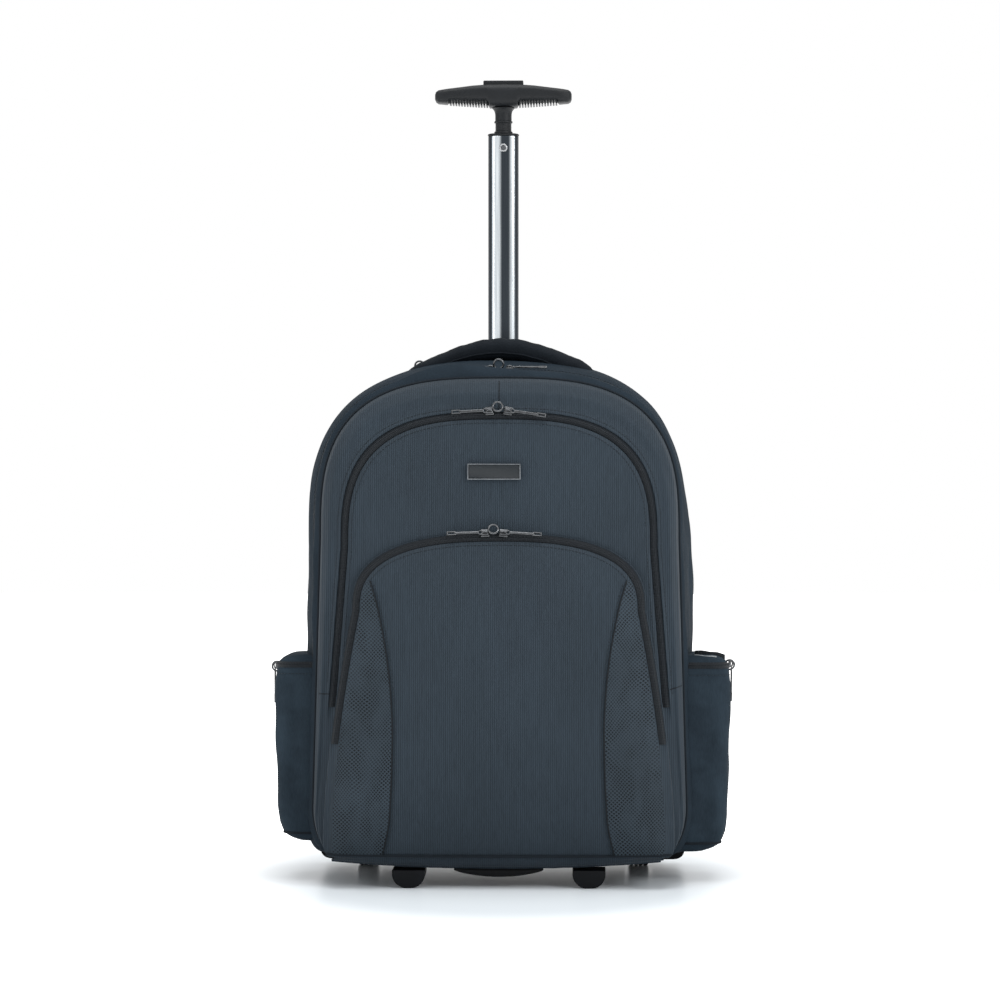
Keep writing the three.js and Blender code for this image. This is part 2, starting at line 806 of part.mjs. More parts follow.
function housingShape(side) {
  const shape = new THREE.Shape();
  const outer = side * housingHalfWidth;
  const inner = side * housingInnerX;
  const roundX = side * (housingHalfWidth - housingRounding);
  const smallRound = housingRounding / 3;
  shape.moveTo(inner, housingBottom);
  shape.lineTo(roundX, housingBottom);
  shape.quadraticCurveTo(outer, housingBottom, outer, housingBottom + housingRounding);
  shape.lineTo(outer, housingTop - smallRound);
  shape.quadraticCurveTo(outer, housingTop, outer - side * smallRound, housingTop);
  shape.lineTo(inner, housingTop);
  return shape;
}

function wheelHousing(side) {
  const half = wheelWidth / 2 + wheelRoom;
  const hold = half + axleHold + seamGap;
  const x = side * wheelX;
  const body = alongY(housingShape(side), housingFrontY, bagBackY);
  const well = rodAlongX(wheelRadius + wheelRoom, x - half, x + half, wheelY, wheelRadius, 32);
  const bore = rodAlongX(axleRadius + seamGap, x - hold, x + hold, wheelY, wheelRadius, 16);
  return cut(body, well, bore);
}

function axle(side) {
  const hold = wheelWidth / 2 + wheelRoom + axleHold;
  return rodAlongX(axleRadius, side * wheelX - hold, side * wheelX + hold, wheelY, wheelRadius, 16);
}

const WHEEL_SIDES = 20;

function wheelRing(side, profile) {
  const points = profile.map(([radius, x]) => new THREE.Vector2(radius, x));
  const ring = new THREE.LatheGeometry([...points, points[0].clone()], WHEEL_SIDES);
  return ring.rotateZ(Math.PI / 2).translate(side * wheelX, wheelY, wheelRadius);
}

function tyre(side) {
  const half = wheelWidth / 2;
  const chamfer = tyreChamfer;
  return wheelRing(side, [
    [wheelRadius - tyreDepth, -half],
    [wheelRadius - chamfer, -half],
    [wheelRadius, chamfer - half],
    [wheelRadius, half - chamfer],
    [wheelRadius - chamfer, half],
    [wheelRadius - tyreDepth, half],
  ]);
}

function hub(side) {
  const half = wheelWidth / 2 - 1;
  const rim = wheelRadius - tyreDepth - seamGap;
  const bore = axleRadius + runGap;
  const boss = bore + hubWall;
  const dish = hubDish;
  return wheelRing(side, [
    [bore, -half],
    [rim, -half],
    [rim, half],
    [rim - dish, half],
    [rim - 2 * dish, half - dish],
    [boss, half - dish],
    [boss, half],
    [bore, half],
  ]);
}

function foot(side) {
  const half = footWidth / 2;
  const top = trayBottom - seamGap;
  const shape = new THREE.Shape();
  shape.moveTo(-half, top);
  shape.lineTo(-half, footRounding);
  shape.absarc(footRounding - half, footRounding, footRounding, Math.PI, 1.5 * Math.PI, false);
  shape.lineTo(half - footRounding, 0);
  shape.absarc(half - footRounding, footRounding, footRounding, 1.5 * Math.PI, 2 * Math.PI, false);
  shape.lineTo(half, top);
  const frontY = trayFrontY + 1;
  return alongY(shape, frontY, frontY + footLength).translate(side * footX, 0, 0);
}

function bottomGrip() {
  const top = trayBottom - seamGap;
  const shape = new THREE.Shape();
  const innerHalf = bottomGripHalfSpan - bottomGripThickness;
  shape.moveTo(-bottomGripHalfSpan, top);
  shape.quadraticCurveTo(0, top - 2 * bottomGripDrop, bottomGripHalfSpan, top);
  shape.lineTo(innerHalf, top);
  shape.quadraticCurveTo(0, top - 2 * (bottomGripDrop - bottomGripThickness), -innerHalf, top);
  const frontY = trayFrontY + 2;
  return alongY(shape, frontY, frontY + bottomGripWidth, 12);
}

// Pole, its guide and the grip
function poleGuide() {
  const bottom = raisedBottom + clothWall + seamGap;
  return ovalTube(guideWidth, guideDepth, guideWall, bottom, collarSeat - seamGap);
}

function poleCollar() {
  const shape = oval(guideWidth + 2 * collarRim, guideDepth + 2 * collarRim);
  shape.holes.push(oval(poleWidth + 2 * runGap, poleDepth + 2 * runGap));
  return alongZ(shape, collarSeat, collarSeat + collarHeight).translate(0, poleY, 0);
}

const neckBottom = poleTop + poleCapThickness + 2 * seamGap;
const gripBottom = neckBottom + neckHeight + seamGap;
const gripTop = gripBottom + gripHeight;

function poleCap() {
  const rim = 0.4;
  const bottom = poleTop + seamGap;
  return alongZ(oval(poleWidth + 2 * rim, poleDepth + 2 * rim), bottom, bottom + poleCapThickness).translate(0, poleY, 0);
}

// Neck profile: radius as a share from the neck's own to its flare, height as a share of the neck's
const NECK_ROWS = [
  { rise: 0, flare: 0.16 },
  { rise: 0.08, flare: 0.16 },
  { rise: 0.1, flare: 0 },
  { rise: 0.36, flare: 0 },
  { rise: 0.38, flare: 0.12 },
  { rise: 0.44, flare: 0.12 },
  { rise: 0.46, flare: 0 },
  { rise: 0.72, flare: 0.02 },
  { rise: 0.86, flare: 0.2 },
  { rise: 0.95, flare: 0.6 },
  { rise: 1, flare: 1 },
];

function gripNeck() {
  const profile = NECK_ROWS.map((row) => {
    const radius = neckRadius + (neckFlareRadius - neckRadius) * row.flare;
    return new THREE.Vector2(radius, neckBottom + neckHeight * row.rise);
  });
  const closed = [new THREE.Vector2(0, neckBottom), ...profile, new THREE.Vector2(0, neckBottom + neckHeight)];
  return new THREE.LatheGeometry(closed, 14).rotateX(Math.PI / 2).translate(0, poleY, 0);
}

// Grip: top and bottom are shares of its height, depth of its depth
const GRIP_ROWS = [
  { along: 0, top: 1, bottom: 0, depth: 1 },
  { along: 0.22, top: 0.985, bottom: 0.01, depth: 1 },
  { along: 0.45, top: 0.95, bottom: 0.05, depth: 0.96 },
  { along: 0.7, top: 0.86, bottom: 0.11, depth: 0.88 },
  { along: 0.88, top: 0.74, bottom: 0.155, depth: 0.8 },
  { along: 0.95, top: 0.7, bottom: 0.175, depth: 0.72 },
  { along: 0.985, top: 0.64, bottom: 0.24, depth: 0.58 },
  { along: 1, top: 0.55, bottom: 0.33, depth: 0.36 },
];
const GRIP_SIDES = 14;

function gripBody() {
  const right = GRIP_ROWS.map((row) => ({ ...row }));
  const left = GRIP_ROWS.slice(1).reverse().map((row) => ({ ...row, along: -row.along }));
  const rings = [...left, ...right].map((row) => {
    const halfHeight = (gripHeight * (row.top - row.bottom)) / 2;
    const centreZ = gripBottom + (gripHeight * (row.top + row.bottom)) / 2;
    return Array.from({ length: GRIP_SIDES }, (_, i) => {
      const turn = (2 * Math.PI * (i + 0.5)) / GRIP_SIDES;
      const across = Math.sign(Math.cos(turn)) * Math.abs(Math.cos(turn)) ** 0.6;
      const up = Math.sign(Math.sin(turn)) * Math.abs(Math.sin(turn)) ** 0.6;
      const y = poleY + (gripDepth / 2) * row.depth * across;
      return new THREE.Vector3(gripHalfLength * row.along, y, centreZ + halfHeight * up);
    });
  });
  const floor = gripTop + buttonProud - buttonHeight - buttonRoom;
  const halfX = buttonHalfLength + runGap;
  const halfY = buttonDepth / 2 + runGap;
  return cut(loft(rings), block(-halfX, halfX, poleY - halfY, poleY + halfY, floor, gripTop + buttonHeight));
}

function gripButton() {
  const top = gripTop + buttonProud;
  const half = buttonDepth / 2;
  return block(-buttonHalfLength, buttonHalfLength, poleY - half, poleY + half, top - buttonHeight, top);
}

function poleRivet() {
  const disc = new THREE.CylinderGeometry(rivetRadius, rivetRadius, rivetThickness, 12);
  const y = poleY - poleDepth / 2 - seamGap - rivetThickness / 2;
  return disc.translate(0, y, poleTop - rivetDrop);
}

// Zip sliders with ring and pull: x runs along the pull, y off the cloth
function zipPull({ length, loop, standing, ringLift }) {
  const halfWidth = sliderWidth / 2;
  const body = block(-halfWidth, halfWidth, 0, sliderThickness, -sliderHeight / 2, sliderHeight / 2);
  const middleY = sliderThickness * 0.6;
  const ring = () => {
    const torus = new THREE.TorusGeometry(ringRadius, ringWire, 5, 12);
    return standing ? torus.translate(0, ringLift, 0) : torus.rotateX(Math.PI / 2).translate(0, middleY, 0);
  };
  const bar = block(halfWidth - 1, length, middleY - pullThickness / 2, middleY + pullThickness / 2, -pullWidth / 2, pullWidth / 2);
  const pieces = [body, bar];
  if (loop) {
    pieces.push(ring().translate(-halfWidth - ringRadius + 0.8, 0, standing ? 0 : sliderHeight / 4));
  }
  return join(...pieces);
}

// Where a tape lies at a given distance across the bag, on its upper half
function tapeSeat(ringA, ringB, x) {
  const from = ringA.findIndex((point, i) => i >= ZIP_FROM && ringA[i + 1].x <= x && point.x >= x);
  const part = (x - ringA[from].x) / (ringA[from + 1].x - ringA[from].x);
  const at = (ring) => ring[from].clone().lerp(ring[from + 1], part);
  const a = at(ringA);
  const b = at(ringB);
  const out = ringA[from + 1].clone().sub(ringA[from]).cross(b.clone().sub(a)).normalize();
  if (out.dot(a.clone().sub(bodyCentre)) < 0) {
    out.negate();
  }
  return { point: a.lerp(b, 0.5), out };
}

function seatPull(seat, alongX, droop, options) {
  const out = seat.out.clone();
  const along = new THREE.Vector3(alongX * Math.cos(droop), 0, -Math.sin(droop));
  along.addScaledVector(out, -along.dot(out)).normalize();
  const across = along.clone().cross(out);
  const lift = 2 * seamGap + tapeThickness;
  const frame = new THREE.Matrix4().makeBasis(along, out, across);
  frame.setPosition(seat.point.clone().addScaledVector(out, lift));
  return zipPull(options).applyMatrix4(frame);
}

const SIDES = [
  { name: "left", side: -1, pocket: sidePocketLeft },
  { name: "right", side: 1, pocket: sidePocketRight },
];

function bodyTape(stationY) {
  const row = BODY_STATIONS.findIndex((station) => station.y === stationY);
  return [outerBody[row], outerBody[row + 1]];
}

const mainBand = bodyTape(mainZipY);
const rearBand = bodyTape(rearZipY);
const archBand = archOuter.rings.slice(ARCH_ROWS.length - 1, ARCH_ROWS.length + 1);

function archTape(band, centre) {
  return tapeStrip(band[0], band[1], ZIP_FROM, 2 * HALF_STEPS - ZIP_FROM, centre);
}

// Pairs of pulls that meet at the middle of a zip
const pairGap = 0.4;
const pairX = sliderWidth / 2 + ringRadius + pairGap;

const standingLift = ringRadius + ringWire;

function pullPair(name, band, leftDroop, rightDroop, standing) {
  const options = { length: pullLength, standing, ringLift: standingLift };
  const left = seatPull(tapeSeat(...band, -pairX), -1, leftDroop, { ...options, loop: true });
  const right = seatPull(tapeSeat(...band, pairX), 1, rightDroop, { ...options, loop: false });
  add(`${name}_left`, left, materials.darkMetal);
  add(`${name}_right`, right, materials.darkMetal);
}

const rearPullX = -85;
const sidePullShare = 0.3;

function sidePull(side, pocket) {
  const rings = sideRings(side, pocket, 0);
  const corner = SIDE_CORNER_STEPS + 1;
  const at = (ring) => ring[corner].clone().lerp(ring[corner + 1], sidePullShare);
  const low = at(rings[SIDE_TAPE_ROW]);
  const point = low.clone().lerp(at(rings[SIDE_TAPE_ROW + 1]), 0.5);
  const out = new THREE.Vector3(side, 0, 0);
  const along = new THREE.Vector3(0, 0, -1);
  const lift = Math.abs(low.x - point.x) + 2 * seamGap + tapeThickness;
  const frame = new THREE.Matrix4().makeBasis(along, out, along.clone().cross(out));
  frame.setPosition(point.addScaledVector(out, lift));
  const options = { length: pullLength, loop: true, standing: true, ringLift: ringRadius / 4 };
  return zipPull(options).applyMatrix4(frame);
}

// Shoulder straps: bow is a share of the bow off the back, drop of the way down, lean of the way out
const STRAP_ROWS = [
  { drop: 0, bow: 0, lean: 0, width: 0.9, thickness: 0.5 },
  { drop: 0.06, bow: 0.28, lean: -0.02, width: 0.98, thickness: 0.9 },
  { drop: 0.2, bow: 0.72, lean: -0.05, width: 1, thickness: 1 },
  { drop: 0.38, bow: 1, lean: 0.02, width: 1, thickness: 1 },
  { drop: 0.56, bow: 0.98, lean: 0.22, width: 0.97, thickness: 1 },
  { drop: 0.74, bow: 0.75, lean: 0.5, width: 0.92, thickness: 1 },
  { drop: 0.9, bow: 0.4, lean: 0.82, width: 0.82, thickness: 0.85 },
  { drop: 1, bow: 0.2, lean: 1, width: 0.66, thickness: 0.5 },
];
const backFaceY = bagBackY + seamGap + backPanelThickness;
const strapSeatY = backFaceY + seamGap;

function strapCentres() {
  return STRAP_ROWS.map((row) => {
    const x = THREE.MathUtils.lerp(strapTopX, strapBottomX, row.lean);
    const z = THREE.MathUtils.lerp(strapTopZ, strapBottomZ, row.drop);
    const y = strapSeatY + (strapThickness * row.thickness) / 2 + strapBow * row.bow;
    return new THREE.Vector3(x, y, z);
  });
}

// A flat band through centres, square across to its path, with softly rounded edges
function band(centres, halfWidths, halfThicknesses, side) {
  const round = 0.55;
  const rings = centres.map((centre, i) => {
    const before = centres[Math.max(i - 1, 0)];
    const after = centres[Math.min(i + 1, centres.length - 1)];
    const along = after.clone().sub(before).normalize();
    const across = new THREE.Vector3(-along.z, 0, along.x).normalize();
    const off = across.clone().cross(along).normalize();
    const w = halfWidths[i];
    const t = halfThicknesses[i];
    const edge = Math.min(t, w) * round;
    const section = [
      [-w, t - edge],
      [-w, edge - t],
      [edge - w, -t],
      [w - edge, -t],
      [w, edge - t],
      [w, t - edge],
      [w - edge, t],
      [edge - w, t],
    ];
    return section.map(([u, v]) => {
      const point = centre.clone().addScaledVector(across, u).addScaledVector(off, v);
      return point.setX(side * point.x);
    });
  });
  return loft(rings);
}

function shoulderStrap(side) {
  const halfWidths = STRAP_ROWS.map((row) => (strapWidth * row.width) / 2);
  const halfThicknesses = STRAP_ROWS.map((row) => (strapThickness * row.thickness) / 2);
  const back = block(-bagHalfWidth, bagHalfWidth, bagBackY, strapSeatY, 0, bagTop);
  return cut(band(strapCentres(), halfWidths, halfThicknesses, side), back);
}

// The buckle hangs right below the strap's end, and the webbing runs from it to the foot of the back
function strapEnd() {
  const centres = strapCentres();
  const end = centres[centres.length - 1];
  const foot = new THREE.Vector3(webbingEndX, strapSeatY + webbingThickness / 2, webbingEndZ);
  const along = foot.clone().sub(end).normalize();
  const turn = along.angleTo(end.clone().sub(centres[centres.length - 2]));
  const start = seamGap + (buckleWidth / 2 + buckleThickness) * Math.sin(turn);
  return { end, foot, along, start };
}

function strapBuckle(side) {
  const { end, along, start } = strapEnd();
  const thickness = buckleThickness / 2;
  const top = end.clone().addScaledVector(along, start);
  const bottom = top.clone().addScaledVector(along, buckleHeight);
  const half = buckleWidth / 2;
  return band([top, bottom], [half, half], [thickness, thickness], side);
}

function strapWebbing(side) {
  const { end, foot, along, start } = strapEnd();
  const top = end.clone().addScaledVector(along, start + buckleHeight + seamGap);
  const half = webbingWidth / 2;
  const thin = webbingThickness / 2;
  return band([top, top.clone().lerp(foot, 0.5), foot], [half, half, half], [thin, thin, thin], side);
}

// The whole backpack
add("main_shell", mainShell(), materials.clothSide);
add("back_panel", backPanel(), materials.clothSide);
add("front_compartment", frontCompartment(), materials.clothFront);
add("lower_pocket", lowerPocket(), materials.clothFront);
add("zip_main", archTape(mainBand, bodyCentre), materials.tape);
add("zip_rear", archTape(rearBand, bodyCentre), materials.tape);
add("zip_front", archTape(archBand, bodyCentre), materials.tape);
add("zip_lower", archTape(pocketBand, bodyCentre), materials.tape);
pullPair("zip_pull_front", archBand, 0.05, 0.15, false);
pullPair("zip_pull_lower", pocketBand, 0.04, 0.07, false);
pullPair("zip_pull_main", mainBand, 0.05, 0.16, true);
const rearPullSeat = tapeSeat(...rearBand, rearPullX);
const rearPullForm = { length: pullLength, loop: true, standing: true, ringLift: standingLift };
const rearPull = seatPull(rearPullSeat, -1, 0.3, rearPullForm);
add("zip_pull_rear", rearPull, materials.darkMetal);
add("badge_plate", badgePlate(), materials.badge);
add("badge_frame", badgeFrame(), materials.darkMetal);
add("carry_handle", carryHandle(), materials.handle);
add("base_tray", baseTray(), materials.plastic);
add("bottom_grip", bottomGrip(), materials.webbing);
add("pole_guide", poleGuide(), materials.aluminium);
add("pole_collar", poleCollar(), materials.plastic);
add("pole", ovalTube(poleWidth, poleDepth, poleWall, collarSeat - poleHeldLength, poleTop), materials.aluminium);
add("pole_cap", poleCap(), materials.plastic);
add("pole_rivet", poleRivet(), materials.darkMetal);
add("grip_neck", gripNeck(), materials.grip);
add("grip", gripBody(), materials.grip);
add("grip_button", gripButton(), materials.grip);
for (const { name, side, pocket } of SIDES) {
  add(`mesh_panel_${name}`, meshPanel(side), materials.mesh);
  add(`side_pocket_${name}`, sidePocket(side, pocket), materials.clothSide);
  add(`zip_side_${name}`, sideTape(side, pocket), materials.tape);
  add(`zip_pull_side_${name}`, sidePull(side, pocket), materials.darkMetal);
  add(`wheel_housing_${name}`, wheelHousing(side), materials.plastic);
  add(`axle_${name}`, axle(side), materials.darkMetal);
  add(`tyre_${name}`, tyre(side), materials.tyre);
  add(`hub_${name}`, hub(side), materials.plastic);
  add(`foot_${name}`, foot(side), materials.plastic);
  add(`shoulder_strap_${name}`, shoulderStrap(side), materials.clothSide);
  add(`strap_buckle_${name}`, strapBuckle(side), materials.plastic);
  add(`strap_webbing_${name}`, strapWebbing(side), materials.webbing);
}

// The origin is on the floor below the middle of the whole backpack
const bounds = new THREE.Box3().setFromObject(group);
group.position.set(-(bounds.min.x + bounds.max.x) / 2, -(bounds.min.y + bounds.max.y) / 2, 0);
group.updateMatrixWorld(true);

export default group;
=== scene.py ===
import math

import bmesh
import bpy
import numpy as np
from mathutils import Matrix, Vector, noise
from mathutils.bvhtree import BVHTree


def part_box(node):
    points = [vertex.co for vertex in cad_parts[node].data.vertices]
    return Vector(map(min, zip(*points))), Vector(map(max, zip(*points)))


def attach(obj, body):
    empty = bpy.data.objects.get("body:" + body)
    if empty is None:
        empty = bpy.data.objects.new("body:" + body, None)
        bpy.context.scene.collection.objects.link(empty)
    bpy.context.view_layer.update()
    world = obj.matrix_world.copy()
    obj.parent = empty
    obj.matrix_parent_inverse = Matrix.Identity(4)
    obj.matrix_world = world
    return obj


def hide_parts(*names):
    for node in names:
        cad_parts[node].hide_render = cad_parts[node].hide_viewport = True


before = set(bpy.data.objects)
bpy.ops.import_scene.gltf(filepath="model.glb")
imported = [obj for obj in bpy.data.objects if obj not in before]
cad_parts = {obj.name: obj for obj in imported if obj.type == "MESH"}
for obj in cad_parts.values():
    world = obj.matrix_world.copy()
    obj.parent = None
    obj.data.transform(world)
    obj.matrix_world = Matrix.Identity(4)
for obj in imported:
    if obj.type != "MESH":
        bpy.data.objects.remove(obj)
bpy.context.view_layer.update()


# The studio. A pale floor that is a little glossy, so that the feet and wheels show faintly in it, is
# painted grey round the bag as a painted shadow and runs back into plain white that glows. Broad soft lamps
# stand over, in front of and beside the bag.
class Wire:
    """What a shader node gives out. Plain sums of wires and numbers add the Math nodes for them."""

    def __init__(self, finish, socket):
        self.finish = finish
        self.socket = socket

    def maths(self, operation, *values):
        return self.finish.node("ShaderNodeMath", {"operation": operation}, *values)

    def __add__(self, other):
        return self.maths("ADD", self, other)

    def __sub__(self, other):
        return self.maths("SUBTRACT", self, other)

    def __rsub__(self, other):
        return self.maths("SUBTRACT", other, self)

    def __mul__(self, other):
        return self.maths("MULTIPLY", self, other)

    def __pow__(self, other):
        return self.maths("POWER", self, other)

    __radd__ = __add__
    __rmul__ = __mul__

    def sine(self, pitch):
        """A wave from 0 to 1 that repeats every pitch."""
        return self.maths("SINE", self * (2 * math.pi / pitch)) * 0.5 + 0.5

    def size(self):
        return self.maths("ABSOLUTE", self)

    def between(self, low, high):
        """0 at low, 1 at high and a smooth step between."""
        settings = {"interpolation_type": "SMOOTHSTEP"}
        return self.finish.node("ShaderNodeMapRange", settings, self, low, high, 0.0, 1.0)


class Finish:
    """A procedural material. Numbers go on the shader's own sockets, and wires only where looks change."""

    def __init__(self, name, **constants):
        self.material = bpy.data.materials.new(name)
        self.material.use_nodes = True
        self.tree = self.material.node_tree
        self.shader = self.tree.nodes["Principled BSDF"]
        self.set(**constants)

    def feed(self, socket, value):
        if isinstance(value, Wire):
            self.tree.links.new(value.socket, socket)
        elif value is not None:
            socket.default_value = value

    def set(self, **values):
        for name, value in values.items():
            self.feed(self.shader.inputs[name.replace("_", " ").title().replace("Ior", "IOR")], value)

    def node(self, kind, settings, *inputs, output=0, **named):
        made = self.tree.nodes.new(kind)
        for key, value in settings.items():
            setattr(made, key, value)
        for socket, value in zip(made.inputs, inputs):
            self.feed(socket, value)
        for key, value in named.items():
            self.feed(made.inputs[key], value)
        return Wire(self, made.outputs[output])

    def axes(self):
        """Where a point of the piece is, in millimetres, as three wires."""
        place = self.node("ShaderNodeTexCoord", {}, output="Object")
        scaled = self.node("ShaderNodeVectorMath", {"operation": "SCALE"}, place, Scale=1000.0)
        parts = self.node("ShaderNodeSeparateXYZ", {}, scaled).socket.node
        return [Wire(self, socket) for socket in parts.outputs]

    def noise(self, size, detail=2.0):
        """Soft noise from 0 to 1 whose blobs are about size millimetres along X, Y and Z."""
        place = self.node("ShaderNodeTexCoord", {}, output="Object")
        scale = tuple(1000.0 / length for length in size)
        stretched = self.node("ShaderNodeMapping", {}, place, Scale=scale)
        return self.node("ShaderNodeTexNoise", {}, stretched, Scale=1.0, Detail=detail)

    def mix(self, share, first, second):
        made = self.node("ShaderNodeMix", {"data_type": "RGBA"}, share, output=2)
        inputs = made.socket.node.inputs
        self.feed(inputs[6], first)
        self.feed(inputs[7], second)
        return made

    def relief(self, height, depth):
        """A bump of that many millimetres from a height of 0 to 1."""
        bump = self.node("ShaderNodeBump", {}, Strength=1.0, Distance=depth / 1000, Height=height)
        self.set(normal=bump)


def screen(red, green, blue):
    """A colour of 0 to 255 as it looks on a screen, as the shader's linear colour."""
    values = [((part / 255 + 0.055) / 1.055) ** 2.4 for part in (red, green, blue)]
    return (*values, 1.0)


FLOOR_REACH = 9.0
SHADOW_FADE_FROM, SHADOW_FADE_TO = 190, 400
BLACK, PAINTED_SHADOW_GREY, WHITE = (0, 0, 0, 1), (0.6, 0.64, 0.67, 1), (1, 1, 1, 1)
CAMERA_AWAY = 3000.0
CAMERA_HEIGHT = 365.4
CAMERA_TURN = math.radians(1.4)
MM_PER_PIXEL = 0.97
PICTURE_PIXELS = 1000
BAG_AXIS_PIXEL = 501.0
SENSOR = 36.0

floor_finish = Finish("studio_floor", roughness=0.3, specular_ior_level=0.4)
floor_x, floor_y, _ = floor_finish.axes()
floor_away = (floor_x * floor_x + floor_y * floor_y * 0.5) ** 0.5
# Painted shadow: within about 190 to 400 mm of the bag the floor is pale grey and does not glow. Further out
# it is white and glows white.
past_painted_shadow = floor_away.between(SHADOW_FADE_FROM, SHADOW_FADE_TO)
floor_finish.set(base_color=floor_finish.mix(past_painted_shadow, PAINTED_SHADOW_GREY, WHITE))
floor_finish.set(emission_color=floor_finish.mix(past_painted_shadow, BLACK, WHITE), emission_strength=1.0)
corners = [(-1, -1), (1, -1), (1, 1), (-1, 1)]
floor_mesh = bpy.data.meshes.new("floor")
floor_mesh.from_pydata([(FLOOR_REACH * x, FLOOR_REACH * y, 0) for x, y in corners], [], [(0, 1, 2, 3)])
floor = bpy.data.objects.new("floor", floor_mesh)
floor_mesh.materials.append(floor_finish.material)
bpy.context.scene.collection.objects.link(floor)

bpy.context.scene.view_settings.view_transform = "Standard"
world = bpy.data.worlds.new("studio")
bpy.context.scene.world = world
world.use_nodes = True
world.node_tree.nodes["Background"].inputs["Color"].default_value = WHITE
world.node_tree.nodes["Background"].inputs["Strength"].default_value = 1.0

LAMPS = [
    {"name": "lamp_over", "place": (0, -0.4, 2.6), "aim": (0, 0, 0.3), "size": 2.0, "watts": 58},
    {"name": "lamp_front_left", "place": (-2.3, -1.7, 1.3), "aim": (0, 0, 0.3), "size": 1.4, "watts": 18},
    {"name": "lamp_front_right", "place": (2.3, -1.9, 1.7), "aim": (0, 0, 0.3), "size": 1.2, "watts": 62},
]
for lamp in LAMPS:
    light = bpy.data.lights.new(lamp["name"], "AREA")
    light.shape = "SQUARE"
    light.size = lamp["size"]
    light.energy = lamp["watts"]
    holder = bpy.data.objects.new(lamp["name"], light)
    holder.location = lamp["place"]
    holder.rotation_euler = (Vector(lamp["aim"]) - holder.location).to_track_quat("-Z", "Y").to_euler()
    bpy.context.scene.collection.objects.link(holder)

pole_low, pole_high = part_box("pole")
POLE_BEHIND = 100.0
BAG_X = (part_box("tyre_left")[0].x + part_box("tyre_right")[1].x) / 2
BAG_Y = (pole_low.y + pole_high.y) / 2 - POLE_BEHIND / 1000

camera_data = bpy.data.cameras.new("camera")
camera_data.sensor_width = SENSOR
camera_data.lens = SENSOR * CAMERA_AWAY / (MM_PER_PIXEL * PICTURE_PIXELS)
camera_data.shift_x = (PICTURE_PIXELS / 2 - BAG_AXIS_PIXEL) / PICTURE_PIXELS
camera = bpy.data.objects.new("camera", camera_data)
camera.location = (
    BAG_X + CAMERA_AWAY / 1000 * math.sin(CAMERA_TURN),
    BAG_Y - CAMERA_AWAY / 1000 * math.cos(CAMERA_TURN),
    CAMERA_HEIGHT / 1000,
)
camera.rotation_euler = (math.pi / 2, 0, CAMERA_TURN)
bpy.context.scene.collection.objects.link(camera)
bpy.context.scene.camera = camera


# The bag's body: one tube of smooth dark cloth that runs round the sides and over the top, from the front
# seam to the back. It is sewn from strips with zips between them, and each strip puffs out between seams.
FOOT_STEPS, CORNER_STEPS, SIDE_STEPS, UPPER_STEPS, ARCH_STEPS = 26, 14, 20, 18, 62
ZIP_FROM = FOOT_STEPS + CORNER_STEPS + SIDE_STEPS
HALF_STEPS = ZIP_FROM + UPPER_STEPS + ARCH_STEPS
ZIP_TO = 2 * HALF_STEPS - ZIP_FROM
ARC_POINTS, SIDE_POINTS = 160, 40


def even_steps(points, count):
    """The same line in so many even steps."""
    points = np.asarray(points, float)
    run = np.concatenate([[0], np.cumsum(np.linalg.norm(np.diff(points, axis=0), axis=1))])
    at = np.linspace(0, run[-1], count + 1)
    return np.stack([np.interp(at, run, column) for column in points.T], axis=1)


def arch_ring(y, half, top, bottom, shoulder, zip_end, square, flare, power, corner, grow=0.0):
    """An arch seen from the front, as a closed ring from the middle of its foot round by the right."""
    half, top, bottom = half + grow, top + grow, bottom - grow
    wide, high = corner
    corner_top = bottom + high
    turns = np.linspace(0, math.pi / 2, ARC_POINTS)

    def side(z):
        return half + flare * (1 - np.clip((z - corner_top) / (shoulder - corner_top), 0, 1) ** power)

    inner = side(corner_top) - wide
    lower = np.linspace(corner_top, zip_end, SIDE_POINTS)
    upper = np.linspace(zip_end, shoulder, SIDE_POINTS)
    across = half * np.cos(turns).clip(0) ** (2 / square)
    rise = shoulder + (top - shoulder) * np.sin(turns).clip(0) ** (2 / square)
    sections = [
        (np.stack([[0, inner], [bottom, bottom]], 1), FOOT_STEPS),
        (np.stack([inner + wide * np.sin(turns), corner_top - high * np.cos(turns)], 1), CORNER_STEPS),
        (np.stack([side(lower), lower], 1), SIDE_STEPS),
        (np.stack([side(upper), upper], 1), UPPER_STEPS),
        (np.stack([across, rise], 1), ARCH_STEPS),
    ]
    right = np.concatenate([even_steps(line, count)[:-1] for line, count in sections] + [[[0, top]]])
    whole = np.concatenate([right, right[-2:0:-1] * [-1, 1]])
    return np.stack([whole[:, 0], np.full(len(whole), float(y)), whole[:, 1]], axis=1)


def outward(ring):
    """Unit vectors that point out of an arch ring, square to it and level with it."""
    along = np.roll(ring, -1, axis=0) - np.roll(ring, 1, axis=0)
    out = np.stack([along[:, 2], 0 * along[:, 0], -along[:, 0]], axis=1)
    return out / np.linalg.norm(out, axis=1, keepdims=True)


def ripple(points, size, seed=0.0):
    """Smooth noise from about -1 to 1 at each point, with waves of about size along X, Y and Z."""
    scaled = np.asarray(points) / np.asarray(size, float) + seed
    values = [noise.noise(Vector(point)) for point in scaled.reshape(-1, 3)]
    return np.array(values).reshape(scaled.shape[:-1])


def skin(rows, wrap=True, cap_first=False, cap_last=False):
    """Points and faces of a surface through rows of equally many points."""
    rows = np.asarray(rows, float)
    count, wide = rows.shape[:2]
    faces = []
    for i in range(count - 1):
        for j in range(wide if wrap else wide - 1):
            here, beside = i * wide + j, i * wide + (j + 1) % wide
            faces.append((here, beside, beside + wide, here + wide))
    if cap_first:
        faces.append(tuple(range(wide - 1, -1, -1)))
    if cap_last:
        faces.append(tuple(range((count - 1) * wide, count * wide)))
    return rows.reshape(-1, 3), faces


def together(*parts):
    """Several skins as one."""
    points, faces, start = [], [], 0
    for part_points, part_faces in parts:
        points.append(part_points)
        faces.extend(tuple(index + start for index in face) for face in part_faces)
        start += len(part_points)
    return np.concatenate(points), faces


